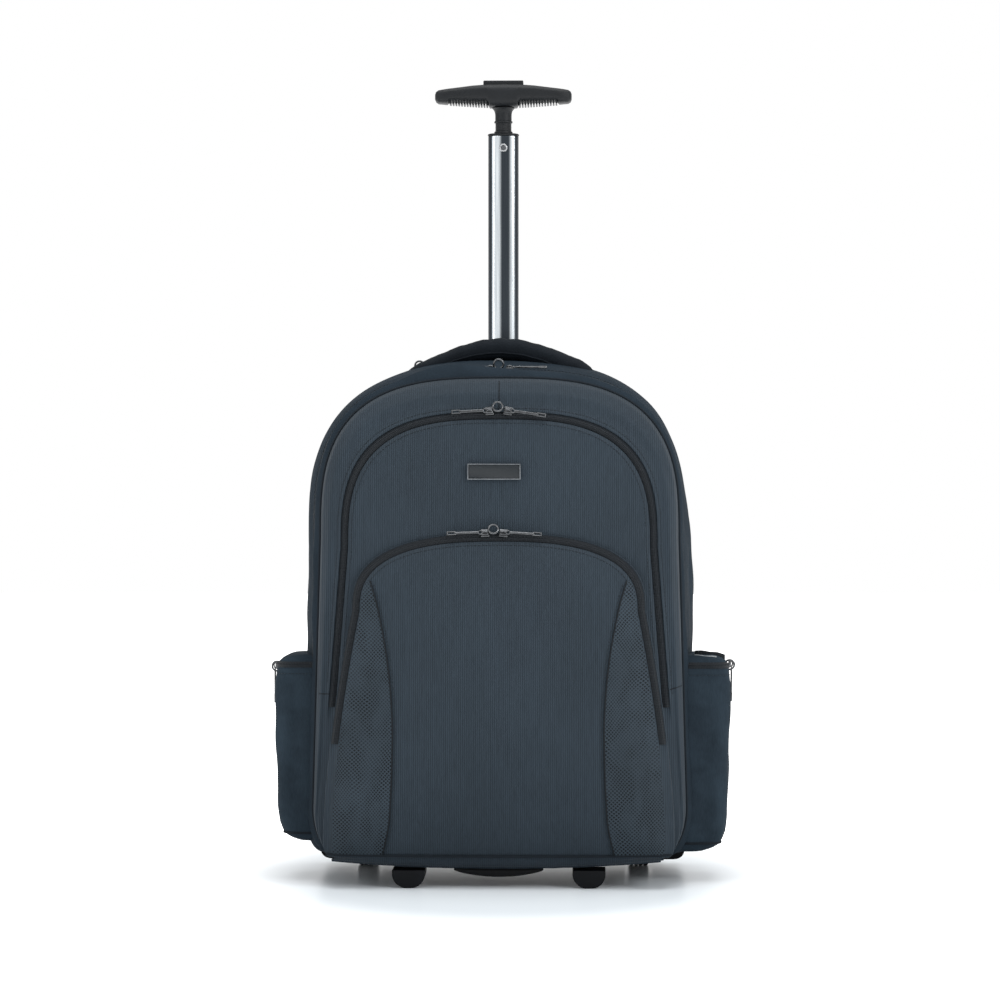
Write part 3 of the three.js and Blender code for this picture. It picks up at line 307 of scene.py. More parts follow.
def piece(name, made, finish, body="bag", stands_for=(), run=None, smooth=True):
    """An object from points and faces in millimetres, turned outwards, finished and riding on its body."""
    points, faces = made
    mesh = bpy.data.meshes.new(name)
    placed = np.asarray(points) / 1000 + [BAG_X, BAG_Y, 0]
    mesh.from_pydata(placed.tolist(), [], faces)
    if run is not None:
        attribute = mesh.attributes.new("run", "FLOAT", "POINT")
        attribute.data.foreach_set("value", np.asarray(run, np.float32).ravel())
    work = bmesh.new()
    work.from_mesh(mesh)
    bmesh.ops.recalc_face_normals(work, faces=work.faces)
    work.to_mesh(mesh)
    work.free()
    if smooth:
        mesh.shade_smooth()
    mesh.materials.append(finish.material)
    made_object = bpy.data.objects.new(name, mesh)
    bpy.context.scene.collection.objects.link(made_object)
    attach(made_object, body)
    if stands_for:
        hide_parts(*stands_for)
    return made_object


def smooth_cloth(name, light, dark, sheen=0.0, painted_crease_shade=0.0):
    """Plain close weave: two tones of yarn, slow worn patches, small soft wrinkles and crease lines painted
    in as shade.
    """
    made = Finish(name, roughness=0.72, sheen_weight=sheen, sheen_roughness=0.45, specular_ior_level=0.03)
    x, y, z = made.axes()
    over = (x + y).sine(1.3) * z.sine(1.3) + (1 - (x + y).sine(1.3)) * (1 - z.sine(1.3))
    yarn = made.noise((0.9, 0.9, 5.0), 1.0)
    worn = made.noise((70, 70, 110), 3.0)
    creased = made.noise((16, 16, 46), 3.0)
    pulled = made.noise((26, 26, 20), 2.0)
    # The slanting crease lines go into the bump, and also into the colour as painted shade along the
    # creases, scaled by the crease shade argument.
    crease = ((x + y) * 0.5 + z * 0.35 + pulled * 34).sine(27) * worn
    tone = (over * 0.3 + yarn * 0.35 + worn * 0.35 + crease * painted_crease_shade).between(0.05, 1.05)
    made.set(base_color=made.mix(tone, dark, light))
    made.set(roughness=0.66 + worn * 0.14)
    made.relief(over * 0.05 + yarn * 0.04 + creased * 0.6 + crease * 0.3, 1.8)
    return made


side_cloth = smooth_cloth("side_cloth", screen(32, 41, 49), screen(19, 25, 30), painted_crease_shade=0.16)

BAG_FRONT, BAG_BACK = -58.0, 118.0
BAG_BOTTOM, BAG_TOP = 28.0, 499.0
BAG_HALF = 187.0
RAISED_BOTTOM = 76.3
BODY_SHOULDER, BODY_ZIP_END, BODY_FLARE = 330, 226, 7
STEP_OVER_WHEELS = 53.7
MAIN_ZIP, REAR_ZIP, TAPE_WIDTH = -44.0, 62.0, 8.0
BODY_TABLE = {
    "depth": [0, 0.03, 0.1, 0.2, 0.4, 0.55, 0.8, 0.95, 1],
    "width": [0.91, 0.925, 0.948, 0.97, 0.998, 1, 0.99, 0.975, 0.962],
    "rise": [0.962, 0.971, 0.977, 0.988, 0.999, 1, 0.997, 0.996, 0.993],
    "square": [3, 3, 2.9, 2.8, 2.7, 2.7, 2.7, 2.7, 2.7],
    "flare": [1, 0.9, 0.6, 0.3, 0, 0, 0, 0, 0],
}


def body_ring(y, grow=0.0, raised=None):
    """The body's outline at a depth. It steps up over the wheels at its back."""
    depth = (y - BAG_FRONT) / (BAG_BACK - BAG_FRONT)
    found = {key: np.interp(depth, BODY_TABLE["depth"], BODY_TABLE[key]) for key in BODY_TABLE}
    squarer = np.clip((depth - 0.02) / 0.1, 0, 1)
    low_corner = (26 - 13 * squarer, 46 - 26 * squarer)
    if raised is None:
        raised = y >= STEP_OVER_WHEELS
    return arch_ring(
        y,
        half=BAG_HALF * found["width"],
        top=BAG_BOTTOM + (BAG_TOP - BAG_BOTTOM) * found["rise"],
        bottom=RAISED_BOTTOM if raised else BAG_BOTTOM,
        shoulder=BODY_SHOULDER,
        zip_end=BODY_ZIP_END,
        square=found["square"],
        flare=BODY_FLARE * found["flare"],
        power=1,
        corner=(8, 8) if raised else low_corner,
        grow=grow,
    )


DRAWN_SIDE, DRAWN_SHOULDER, DRAWN_DOWN = 3.2, 4.6, 0.35
SHOULDER_HEIGHT, SHOULDER_REACH = 385, 62


def slimmer(ring):
    """The same ring with its right side drawn in: the full bag leans a little to its left."""
    x, y, z = ring.T
    deep = np.clip((y - BAG_FRONT) / 24, 0, 1)
    drawn = DRAWN_SIDE + DRAWN_SHOULDER * np.exp(-(((z - SHOULDER_HEIGHT) / SHOULDER_REACH) ** 2))
    right = np.clip((x - 90) / 80, 0, 1) * np.clip((z - 90) / 60, 0, 1)
    inward = drawn * right * deep
    return ring - np.stack([inward, 0 * x, DRAWN_DOWN * inward], axis=1)


def puff(share, power=0.6):
    """A swell from 0 at both seams to 1 between them."""
    return np.sin(math.pi * np.clip(share, 0, 1)) ** power


ring_index = np.arange(2 * HALF_STEPS)
zipped = np.clip(np.minimum(ring_index - ZIP_FROM, ZIP_TO - ring_index) / 4.0 + 1, 0, 1)
TROUGH_DEPTH = 0.9
STRIPS = [
    {"from": BAG_FRONT, "to": MAIN_ZIP, "rows": 9, "puff": 2.6},
    {"from": MAIN_ZIP, "to": MAIN_ZIP + TAPE_WIDTH, "rows": 4, "puff": 0},
    {"from": MAIN_ZIP + TAPE_WIDTH, "to": STEP_OVER_WHEELS, "rows": 26, "puff": 2.4},
    {"from": STEP_OVER_WHEELS, "to": REAR_ZIP, "rows": 3, "puff": 0},
    {"from": REAR_ZIP, "to": REAR_ZIP + TAPE_WIDTH, "rows": 4, "puff": 0},
    {"from": REAR_ZIP + TAPE_WIDTH, "to": BAG_BACK, "rows": 14, "puff": 1.8},
]


def body_lift(ring, strip, share):
    """How far the cloth stands off the bag's plain form at each point of a ring.

    Every strip swells and folds, and the front one also rolls up over the front compartment's top.
    """
    x, y, z = ring.T
    lift = strip["puff"] * puff(share) * np.ones(len(ring))
    in_zip = strip["puff"] == 0 and strip["to"] - strip["from"] == TAPE_WIDTH
    if in_zip:
        return -TROUGH_DEPTH * zipped * puff(share, 0.25)
    high = np.clip((z - 380) / 90, 0, 1)
    if strip["from"] == BAG_FRONT:
        roll = 8.0 * np.exp(-(((x + 48) / 36) ** 2)) + 1.6 * np.exp(-((x / 30) ** 2))
        lift += puff(share, 0.8) * high * roll
    fade = puff(share, 0.5) * np.clip((z - 34) / 50, 0, 1)
    low = 1 - high
    folds = 2.8 * ripple(ring, (60, 26, 120), 3.1) + 1.9 * ripple(ring, (30, 15, 44), 7.7)
    soft = 1.3 * ripple(ring, (55, 40, 60), 11.3)
    lift += fade * (low * folds + high * soft)
    return lift


shell_rows = []
for strip in STRIPS:
    for share in np.linspace(0, 1, strip["rows"] + 1)[: None if strip is STRIPS[-1] else -1]:
        y = strip["from"] + (strip["to"] - strip["from"]) * share
        ring = body_ring(y, raised=strip["from"] >= STEP_OVER_WHEELS)
        shell_rows.append(slimmer(ring + outward(ring) * body_lift(ring, strip, share)[:, None]))
    if strip["to"] == STEP_OVER_WHEELS:
        shell_rows.append(slimmer(body_ring(STEP_OVER_WHEELS, raised=False)))
piece("bag_shell", skin(shell_rows, cap_first=True, cap_last=True), side_cloth, stands_for=["main_shell"])


def round_bar(path, radius, sides=8, closed=False, flat=1.0):
    """A bar along a path, round or flattened, with square-cut ends."""
    path = np.asarray(path, float)
    if closed:
        along = np.roll(path, -1, axis=0) - np.roll(path, 1, axis=0)
    else:
        along = np.gradient(path, axis=0)
    along /= np.linalg.norm(along, axis=1, keepdims=True)
    helper = np.array([0.31, 0.93, 0.2])
    first = np.cross(along, helper)
    first /= np.linalg.norm(first, axis=1, keepdims=True)
    second = np.cross(along, first)
    turns = np.linspace(0, 2 * math.pi, sides, endpoint=False)
    rows = [path + radius * (math.cos(t) * first + flat * math.sin(t) * second) for t in turns]
    rows = np.stack(rows, axis=1)
    if closed:
        rows = np.concatenate([rows, rows[:1]])
        return skin(rows)
    return skin(rows, cap_first=True, cap_last=True)


def run_along(path):
    """How far along a path each of its points lies."""
    return np.concatenate([[0], np.cumsum(np.linalg.norm(np.diff(np.asarray(path), axis=0), axis=1))])


STITCH_PITCH, STITCH_LENGTH, STITCH_RADIUS, STITCH_LIFT = 3.4, 2.3, 0.24, 0.15


def stitches(path, out):
    """A line of top stitching: short thread bars along a path, lying just off the cloth."""
    path, out = np.asarray(path, float), np.asarray(out, float)
    run = run_along(path)
    parts = []
    for i in range(int(run[-1] / STITCH_PITCH)):
        ends = i * STITCH_PITCH + 0.5 + np.array([0, 0.5, 1]) * STITCH_LENGTH
        line = np.stack([np.interp(ends, run, column) for column in path.T], axis=1)
        side = np.stack([np.interp(ends, run, column) for column in out.T], axis=1)
        heights = np.array([-0.15, 1, -0.15]) * STITCH_LIFT
        parts.append(round_bar(line + side * heights[:, None], STITCH_RADIUS, sides=4))
    return together(*parts)


def two_tone(name, size, detail, dark, light, **constants):
    """A finish that drifts between two tones over spots of about size millimetres, and those spots."""
    made = Finish(name, **constants)
    spots = made.noise(size, detail)
    made.set(base_color=made.mix(spots, screen(*dark), screen(*light)))
    return made, spots


thread_tones = (18, 22, 26), (30, 36, 41)
thread_finish, _ = two_tone("thread", (0.6,) * 3, 2.0, *thread_tones, roughness=0.6, specular_ior_level=0.15)

binding_cloth = smooth_cloth("binding_cloth", screen(27, 32, 37), screen(17, 21, 25), sheen=0.02)
front_edge = body_ring(BAG_FRONT, grow=0.6)
front_binding = round_bar(front_edge, 1.35, closed=True)
back_edge = slimmer(body_ring(BAG_BACK - 0.5, grow=0.8, raised=True))
back_binding = round_bar(back_edge, 1.7, closed=True)
piece("bag_bindings", together(front_binding, back_binding), binding_cloth)

gusset_lines = []
for y in (MAIN_ZIP - 2.6, MAIN_ZIP + TAPE_WIDTH + 2.6, REAR_ZIP - 2.6, REAR_ZIP + TAPE_WIDTH + 2.6):
    strip = next(s for s in STRIPS if s["from"] <= y < s["to"])
    ring = body_ring(y)
    share = (y - strip["from"]) / (strip["to"] - strip["from"])
    out = outward(ring)
    line = slimmer(ring + out * (body_lift(ring, strip, share)[:, None] + 0.05))
    gusset_lines.append(stitches(line[ZIP_FROM:ZIP_TO], out[ZIP_FROM:ZIP_TO]))
piece("gusset_stitching", together(*gusset_lines), thread_finish)


# The front compartment: a ribbed cloth panel that rolls in from the body's front seam and carries a zipped
# flap, the tall arch. Flap and panel are one weave with fine upright ribs in two tones.
def ribbed_cloth(name, light, dark):
    """Polyester with fine upright ribs: dark between them, light along them, in broken two-tone yarn."""
    made = Finish(name, roughness=0.7, sheen_weight=0.03, sheen_roughness=0.5, specular_ior_level=0.08)
    x, y, z = made.axes()
    rib = x.sine(2.0)
    step = (z + rib * 1.1).sine(1.5)
    yarn = made.noise((0.8, 0.8, 14.0), 2.0)
    slub = made.noise((3.0, 3.0, 60.0), 2.0)
    worn = made.noise((90, 90, 120), 3.0)
    creased = made.noise((38, 38, 52), 2.5)
    tone = rib * 0.34 + step * 0.16 + yarn * 0.4 + slub * 0.2 + worn * 0.34 - 0.22
    made.set(base_color=made.mix(tone.between(0.0, 1.0), dark, light))
    made.set(roughness=0.64 + worn * 0.14)
    made.relief(rib * 0.12 + step * 0.07 + yarn * 0.06 + creased * 0.75, 1.3)
    return made


front_cloth = ribbed_cloth("front_cloth", screen(41, 50, 58), screen(21, 27, 32))
ARCH_FORM = {
    "half": 142, "top": 441, "shoulder": 320, "zip_end": 182,
    "square": 2.9, "flare": 20, "power": 1, "corner": (10, 30),
}
ARCH_BOTTOM = 33
ARCH_MIDDLE = np.array([0.0, 0.0, (ARCH_FORM["top"] + ARCH_BOTTOM) / 2])
ARCH_DEPTH, ARCH_CROWN = 25.0, 9.5
FACE_TABLE = {"spread": [1, 0.94, 0.8, 0.55, 0.28, 0], "crown": [0, 0.42, 0.76, 0.95, 1, 1]}


def arch_edge(y, grow):
    """The tall arch's edge, grown outwards by so much."""
    bottom = ARCH_BOTTOM + grow * 0.7
    return arch_ring(y, bottom=bottom, grow=grow, **ARCH_FORM)


def smooth_steps(table_x, table_y, at):
    """A table's values at other places, with rounded corners between its rows."""
    at = np.asarray(at, float)
    offsets = np.linspace(-0.04, 0.04, 9)
    low, high = min(table_x), max(table_x)
    order = np.argsort(table_x)
    tx, ty = np.asarray(table_x, float)[order], np.asarray(table_y, float)[order]
    return np.mean([np.interp(np.clip(at + offset, low, high), tx, ty) for offset in offsets], axis=0)


FACE_RINGS = 26


def face_rows(edge, middle, crown):
    """Rings from an arch's edge in to its middle, over its crown."""
    rows = []
    for spread in np.linspace(1, 0.03, FACE_RINGS) ** 0.85:
        ring = edge + (middle - edge) * [1, 0, 1] * (1 - spread)
        rise = crown * smooth_steps(FACE_TABLE["spread"], FACE_TABLE["crown"], spread)
        rows.append(ring - [0, rise, 0])
    return rows


CREASES = [
    {"x": 141, "z": 344, "turn": 15, "long": 9, "wide": 2.6, "deep": 1.5},
    {"x": 126, "z": 300, "turn": -52, "long": 26, "wide": 6, "deep": 1.2},
    {"x": -128, "z": 296, "turn": 50, "long": 24, "wide": 6, "deep": 1.0},
    {"x": -152, "z": 392, "turn": 58, "long": 30, "wide": 8, "deep": 1.6},
    {"x": 150, "z": 402, "turn": -55, "long": 32, "wide": 8, "deep": 1.6},
    {"x": -163, "z": 300, "turn": 88, "long": 60, "wide": 7, "deep": 1.4},
    {"x": 166, "z": 262, "turn": 86, "long": 60, "wide": 7, "deep": 1.6},
    {"x": -165, "z": 120, "turn": 82, "long": 44, "wide": 7, "deep": 1.8},
    {"x": 168, "z": 110, "turn": 97, "long": 46, "wide": 7, "deep": 1.8},
    {"x": 60, "z": 52, "turn": 30, "long": 26, "wide": 7, "deep": 0.9},
    {"x": -70, "z": 58, "turn": -24, "long": 28, "wide": 7, "deep": 0.8},
]


def front_folds(points):
    """How far the front cloth stands out at each point: slow waves and a few pulled creases."""
    points = np.asarray(points)
    x, z = points[..., 0], points[..., 2]
    flat = points * [1, 0, 1]
    out = 1.1 * ripple(flat, (75, 1, 95), 5.2) + 0.45 * ripple(flat, (26, 1, 40), 9.1)
    for crease in CREASES:
        turn = math.radians(crease["turn"])
        dx, dz = x - crease["x"], z - crease["z"]
        along = dx * math.cos(turn) + dz * math.sin(turn)
        across = dz * math.cos(turn) - dx * math.sin(turn)
        fall = np.exp(-((along / crease["long"]) ** 2) - (across / crease["wide"]) ** 2)
        out = out - crease["deep"] * fall
    return out


def folded(points, share=1.0):
    """The same points with the front's folds in them."""
    moved = np.array(points, float)
    moved[..., 1] -= front_folds(points) * share
    return moved


seam_ring = body_ring(BAG_FRONT)
tape_ring = arch_edge(0, TAPE_WIDTH)
slope_rows = []
for blend in np.concatenate([np.linspace(0, 0.1, 6)[:-1], np.linspace(0.1, 1, 22)]):
    deep = ARCH_DEPTH * smooth_steps([0, 0.1, 0.45, 1], [0, 0.4, 0.74, 0.9], blend)
    deep = 0 if blend == 0 else deep
    lip = 1.3 * math.exp(-(((1 - blend) / 0.09) ** 2)) * zipped
    soft = math.sin(math.pi * min(1, blend * 1.4)) * 1.6
    ring = seam_ring + (tape_ring - seam_ring) * blend
    ring[:, 1] = BAG_FRONT - 0.3 - deep - lip - soft
    slope_rows.append(folded(ring, min(1, blend * 5)))
arch_outer = arch_edge(BAG_FRONT - 0.3 - ARCH_DEPTH * 0.9, TAPE_WIDTH)
arch_inner = arch_edge(BAG_FRONT - 0.3 - ARCH_DEPTH, 0)
LIP_HEIGHTS = [1.5, 1.1, 0.4]


def zipped_flap(outer, inner, middle, crown, sunk):
    """Rings of a flap: the trough that its zip lies in, then the face inside it, which starts with a lip."""
    rows = []
    for share in (0.06, 0.5, 0.94):
        ring = outer + (inner - outer) * share
        ring[:, 1] += sunk * zipped
        rows.append(folded(ring))
    for i, ring in enumerate(face_rows(inner, middle, crown)):
        if i < len(LIP_HEIGHTS):
            ring[:, 1] -= LIP_HEIGHTS[i] * zipped
        rows.append(folded(ring))
    return rows


back_hem = [seam_ring + [0, 1.5, 0]]
flap_rows = zipped_flap(arch_outer, arch_inner, ARCH_MIDDLE, ARCH_CROWN, sunk=TROUGH_DEPTH)
front_skin = skin(back_hem + slope_rows + flap_rows, cap_last=True)
piece("front_compartment_cloth", front_skin, front_cloth, stands_for=["front_compartment"])


# The lower pocket: a low wide arch of the same ribbed cloth that stands proud of the compartment, with a
# binding round its foot.
POCKET_FRONT = BAG_FRONT - ARCH_DEPTH - ARCH_CROWN
POCKET_DEPTH, POCKET_CROWN = 7.0, 12.5
POCKET_FORM = {
    "half": 130, "top": 326, "shoulder": 262, "zip_end": 146,
    "square": 2.6, "flare": 27, "power": 1.56, "corner": (5, 16),
}
POCKET_BOTTOM = 30
POCKET_MIDDLE = np.array([0.0, 0.0, (POCKET_FORM["top"] + POCKET_BOTTOM) / 2])


def pocket_edge(y, grow):
    """The low arch's edge, grown outwards by so much."""
    return arch_ring(y, bottom=POCKET_BOTTOM + grow, grow=grow, **POCKET_FORM)


pocket_outer = pocket_edge(POCKET_FRONT - POCKET_DEPTH * 0.4, TAPE_WIDTH)
pocket_inner = pocket_edge(POCKET_FRONT - POCKET_DEPTH, 0)
wall_rows = []
for share in np.linspace(0, 1, 6):
    ring = pocket_outer.copy()
    ring[:, 1] = BAG_FRONT - ARCH_DEPTH / 2 + (pocket_outer[:, 1] - BAG_FRONT + ARCH_DEPTH / 2) * share
    ring += outward(ring) * (0.8 * puff(share))
    wall_rows.append(folded(ring, share))
pocket_rows = zipped_flap(pocket_outer, pocket_inner, POCKET_MIDDLE, POCKET_CROWN, sunk=0.8)
pocket_skin = skin(wall_rows + pocket_rows, cap_last=True)
piece("lower_pocket_cloth", pocket_skin, front_cloth, stands_for=["lower_pocket"])


def tree_of(*skins):
    """Skins as one surface that rays can be cast at."""
    points, faces = together(*skins)
    return BVHTree.FromPolygons([Vector(point) for point in points], faces)


front_tree = tree_of(front_skin, pocket_skin)


def draped(x, z, lift=0.0):
    """The point of the front cloth at that place seen from the front, and the way out of it."""
    hit, normal, _, _ = front_tree.ray_cast(Vector((x, -400, z)), Vector((0, 1, 0)))
    normal = normal if normal.y < 0 else -normal
    return np.array(hit + normal * lift), np.array(normal)


def draped_line(knots, count, lift=0.0):
    """A line drawn on the front, laid on its cloth in even steps, and the ways out of it."""
    spots = even_steps(knots, count)
    found = [draped(x, z, lift=lift) for x, z in spots]
    return np.array([f[0] for f in found]), np.array([f[1] for f in found])


seam_tones = (12, 15, 18), (22, 26, 30)
seam_finish, _ = two_tone("seam_cord", (2,) * 3, 2.0, *seam_tones, roughness=0.7, specular_ior_level=0.1)
PLAIN_SEAMS = [
    {"name": "crown", "line": [(0, 478), (0, 451)]},
    {"name": "left_end", "line": [(-171, 182), (-153, 182)]},
    {"name": "right_end", "line": [(153, 184), (173, 190)]},
]
plain_seams = []
for seam in PLAIN_SEAMS:
    line, out = draped_line(seam["line"], 14, lift=0.05)
    plain_seams.append(round_bar(line, 0.5, sides=6, flat=0.6))
piece("front_seams", together(*plain_seams), seam_finish)

FOOT_HALF, FOOT_HEIGHT, FOOT_RISE = 162, 31.5, 1.2
foot_line = []
for x in np.linspace(-FOOT_HALF, FOOT_HALF, 80):
    foot_line.append(draped(x, FOOT_HEIGHT + FOOT_RISE * abs(x / FOOT_HALF) ** 3, lift=0.6)[0])
piece("pocket_foot_binding", round_bar(foot_line, 1.1), binding_cloth)


# The mesh side panels of the lower pocket: open diamond mesh over the ribbed cloth, sewn down along a curved
# inner seam with a thin dark cord.
DIAMOND_PITCH = 2.5


def diamond_mesh(name):
    """Two sets of slanting threads, wavy where the mesh is pulled, with dark holes between them."""
    made = Finish(name, roughness=0.62, specular_ior_level=0.1)
    x, y, z = made.axes()
    wobble = made.noise((34, 34, 44), 2.0) * 9.0
    one = ((x + z) * math.sqrt(0.5) + wobble).sine(DIAMOND_PITCH)
    two = ((x - z) * math.sqrt(0.5) + wobble).sine(DIAMOND_PITCH)
    thread_one, thread_two = one.between(0.5, 0.8), two.between(0.5, 0.8)
    threads = made.node("ShaderNodeMath", {"operation": "MAXIMUM"}, thread_one, thread_two)
    pulled = made.noise((13, 13, 26), 2.0).between(0.38, 0.62)
    hole = (1 - threads) * (pulled * 0.4 + 0.6)
    worn = made.noise((40, 40, 60), 3.0)
    lit = made.mix(worn, screen(32, 40, 46), screen(45, 54, 62))
    made.set(base_color=made.mix(hole, lit, screen(9, 13, 16)))
    made.relief((1 - hole) * 0.7 + threads * 0.3, 0.5)
    return made


mesh_cloth = diamond_mesh("mesh_cloth")
MESH_SEAM = {
    "rise": [-0.02, 0.1, 0.25, 0.42, 0.56, 0.68, 0.8, 0.92],
    "seam": [0.705, 0.65, 0.634, 0.628, 0.645, 0.675, 0.72, 0.79],
}
POCKET_WIDEST = 157.0
MESH_FOOT, MESH_TOP, MESH_NARROWEST = 33, 300, 1.5


def mesh_seam_x(z):
    """How far from the middle the mesh panel's inner seam runs."""
    rise = (z - POCKET_BOTTOM) / (POCKET_FORM["top"] - POCKET_BOTTOM)
    return POCKET_WIDEST * smooth_steps(MESH_SEAM["rise"], MESH_SEAM["seam"], rise)


outline = pocket_inner[pocket_inner[:, 0] > 1]
outline = outline[np.argsort(outline[:, 2])]
outline = outline[outline[:, 2] > 36]
for name, side in (("left", -1), ("right", 1)):
    rows, seam_line, seam_out = [], [], []
    for z in np.linspace(MESH_FOOT, MESH_TOP, 76):
        inner = float(mesh_seam_x(z))
        outer = float(np.interp(z, outline[:, 2], outline[:, 0])) - 0.8
        if outer - inner < MESH_NARROWEST:
            break
        row = []
        for share in np.linspace(0, 1, 18):
            point, normal = draped(side * (inner + (outer - inner) * share), z, lift=0.7)
            row.append(point)
            if share == 0:
                seam_line.append(point)
                seam_out.append(normal)
        rows.append(row)
    piece(f"mesh_cloth_{name}", skin(rows, wrap=False), mesh_cloth, stands_for=[f"mesh_panel_{name}"])
    cord = round_bar(np.array(seam_line), 0.75, sides=6)
    piece(f"mesh_seam_{name}", cord, seam_finish)
    beside = np.array(seam_line) - [side * 2.6, 0.1, 0]
    piece(f"mesh_stitching_{name}", stitches(beside, np.array(seam_out)), thread_finish)


# The zips: black reverse coil zips. Each is a woven tape whose coil shows as two close ridges with a groove
# between them, set in a trough between two rolled cloth edges.
def zip_tape(name):
    """Woven tape whose coil shows as fine teeth across it."""
    made = Finish(name, roughness=0.62, specular_ior_level=0.15)
    run = made.node("ShaderNodeAttribute", {"attribute_name": "run"}, output="Fac")
    tooth = run.sine(1.5)
    fine = made.noise((1.4, 1.4, 1.4), 2.0)
    made.set(base_color=made.mix(tooth * 0.6 + fine * 0.4, screen(9, 12, 15), screen(24, 29, 34)))
    made.relief(tooth * 0.8 + fine * 0.2, 0.35)
    return made


tape_finish = zip_tape("zip_tape")
TAPE_PROFILE = {
    "across": [0, 0.02, 0.28, 0.32, 0.4, 0.46, 0.485, 0.5, 0.515, 0.54, 0.6, 0.68, 0.72, 0.98, 1],
    "height": [0, 0.45, 0.5, 1.0, 1.35, 1.35, 1.1, 0.55, 1.1, 1.35, 1.35, 1.0, 0.5, 0.45, 0],
}


def zip_chain(name, edge_a, edge_b, out, stands_for):
    """A closed zip between two edges."""
    run = run_along((edge_a + edge_b) / 2)
    rows = []
    for across, height in zip(TAPE_PROFILE["across"], TAPE_PROFILE["height"]):
        rows.append(edge_a + (edge_b - edge_a) * (0.08 + 0.84 * across) + out * (height - 0.1))
    rows = np.stack(rows, axis=1)
    length = np.repeat(run[:, None], rows.shape[1], axis=1)
    return piece(name, skin(rows, wrap=False), tape_finish, stands_for=[stands_for], run=length)


def band_out(ring_a, ring_b, centre):
    """The way out of a band between two rings, square to it."""
    along = np.roll(ring_a, -1, axis=0) - np.roll(ring_a, 1, axis=0)
    out = np.cross(along, ring_b - ring_a)
    out /= np.linalg.norm(out, axis=1, keepdims=True)
    inward = np.sum(out * (ring_a - centre), axis=1) < 0
    out[inward] *= -1
    return out


BAG_CENTRE = np.array([0, (BAG_FRONT + BAG_BACK) / 2, 165.0])
main_band = [slimmer(body_ring(MAIN_ZIP)), slimmer(body_ring(MAIN_ZIP + TAPE_WIDTH))]
rear_band = [slimmer(body_ring(y, raised=True)) for y in (REAR_ZIP, REAR_ZIP + TAPE_WIDTH)]
front_band = [folded(arch_outer), folded(arch_inner)]
lower_band = [folded(pocket_outer), folded(pocket_inner)]
for name, band in (("main", main_band), ("rear", rear_band), ("front", front_band), ("lower", lower_band)):
    chosen = slice(ZIP_FROM - 2, ZIP_TO + 3)
    out = band_out(*band, BAG_CENTRE)
    zip_chain(f"zip_chain_{name}", band[0][chosen], band[1][chosen], out[chosen], f"zip_{name}")

flap_lines = []
for edge in (arch_edge(0, TAPE_WIDTH + 3), arch_edge(0, -3), pocket_edge(0, -3)):
    found = [draped(x, z, lift=0.1) for x, _, z in edge[ZIP_FROM:ZIP_TO]]
    flap_lines.append(stitches([point for point, _ in found], [normal for _, normal in found]))
piece("flap_stitching", together(*flap_lines), thread_finish)


# The sliders and pulls: gunmetal castings. The slider is a waisted block with a bridge, a ring stands in the
# bridge where two sliders meet, and the pull is a slim bar with a slot at its far end.
metal_tones = (46, 48, 51), (98, 100, 102)
gunmetal, _ = two_tone("gunmetal", (5,) * 3, 3.0, *metal_tones, metallic=1.0)
gunmetal.set(roughness=0.2 + gunmetal.noise((0.5, 6, 0.5), 2.0) * 0.14)


def rounded_block(low, high, bevel, segments=2):
    """A block with rounded edges, as points and faces."""
    low, high = np.asarray(low, float), np.asarray(high, float)
    work = bmesh.new()
    bmesh.ops.create_cube(work, size=1)
    for vertex in work.verts:
        vertex.co = Vector((low + high) / 2 + np.array(vertex.co) * (high - low))
    bmesh.ops.bevel(work, geom=work.edges[:], offset=bevel, segments=segments, profile=0.6, affect="EDGES")
    points = np.array([vertex.co for vertex in work.verts])
    faces = [tuple(vertex.index for vertex in face.verts) for face in work.faces]
    work.free()
    return points, faces


def circle(radius, centre, first, second, count=24):
    """Points round a circle that lies in the plane of two ways."""
    turns = np.linspace(0, 2 * math.pi, count, endpoint=False)[:, None]
    return np.array(centre) + radius * (np.cos(turns) * np.array(first) + np.sin(turns) * np.array(second))


PULL_LENGTH, PULL_WIDTH, PULL_THICK = 36.0, 4.0, 1.8
SLIDER_LONG, SLIDER_WIDE, SLIDER_THICK = 8.0, 8.0, 4.0
RING_RADIUS, RING_WIRE = 4.6, 1.0


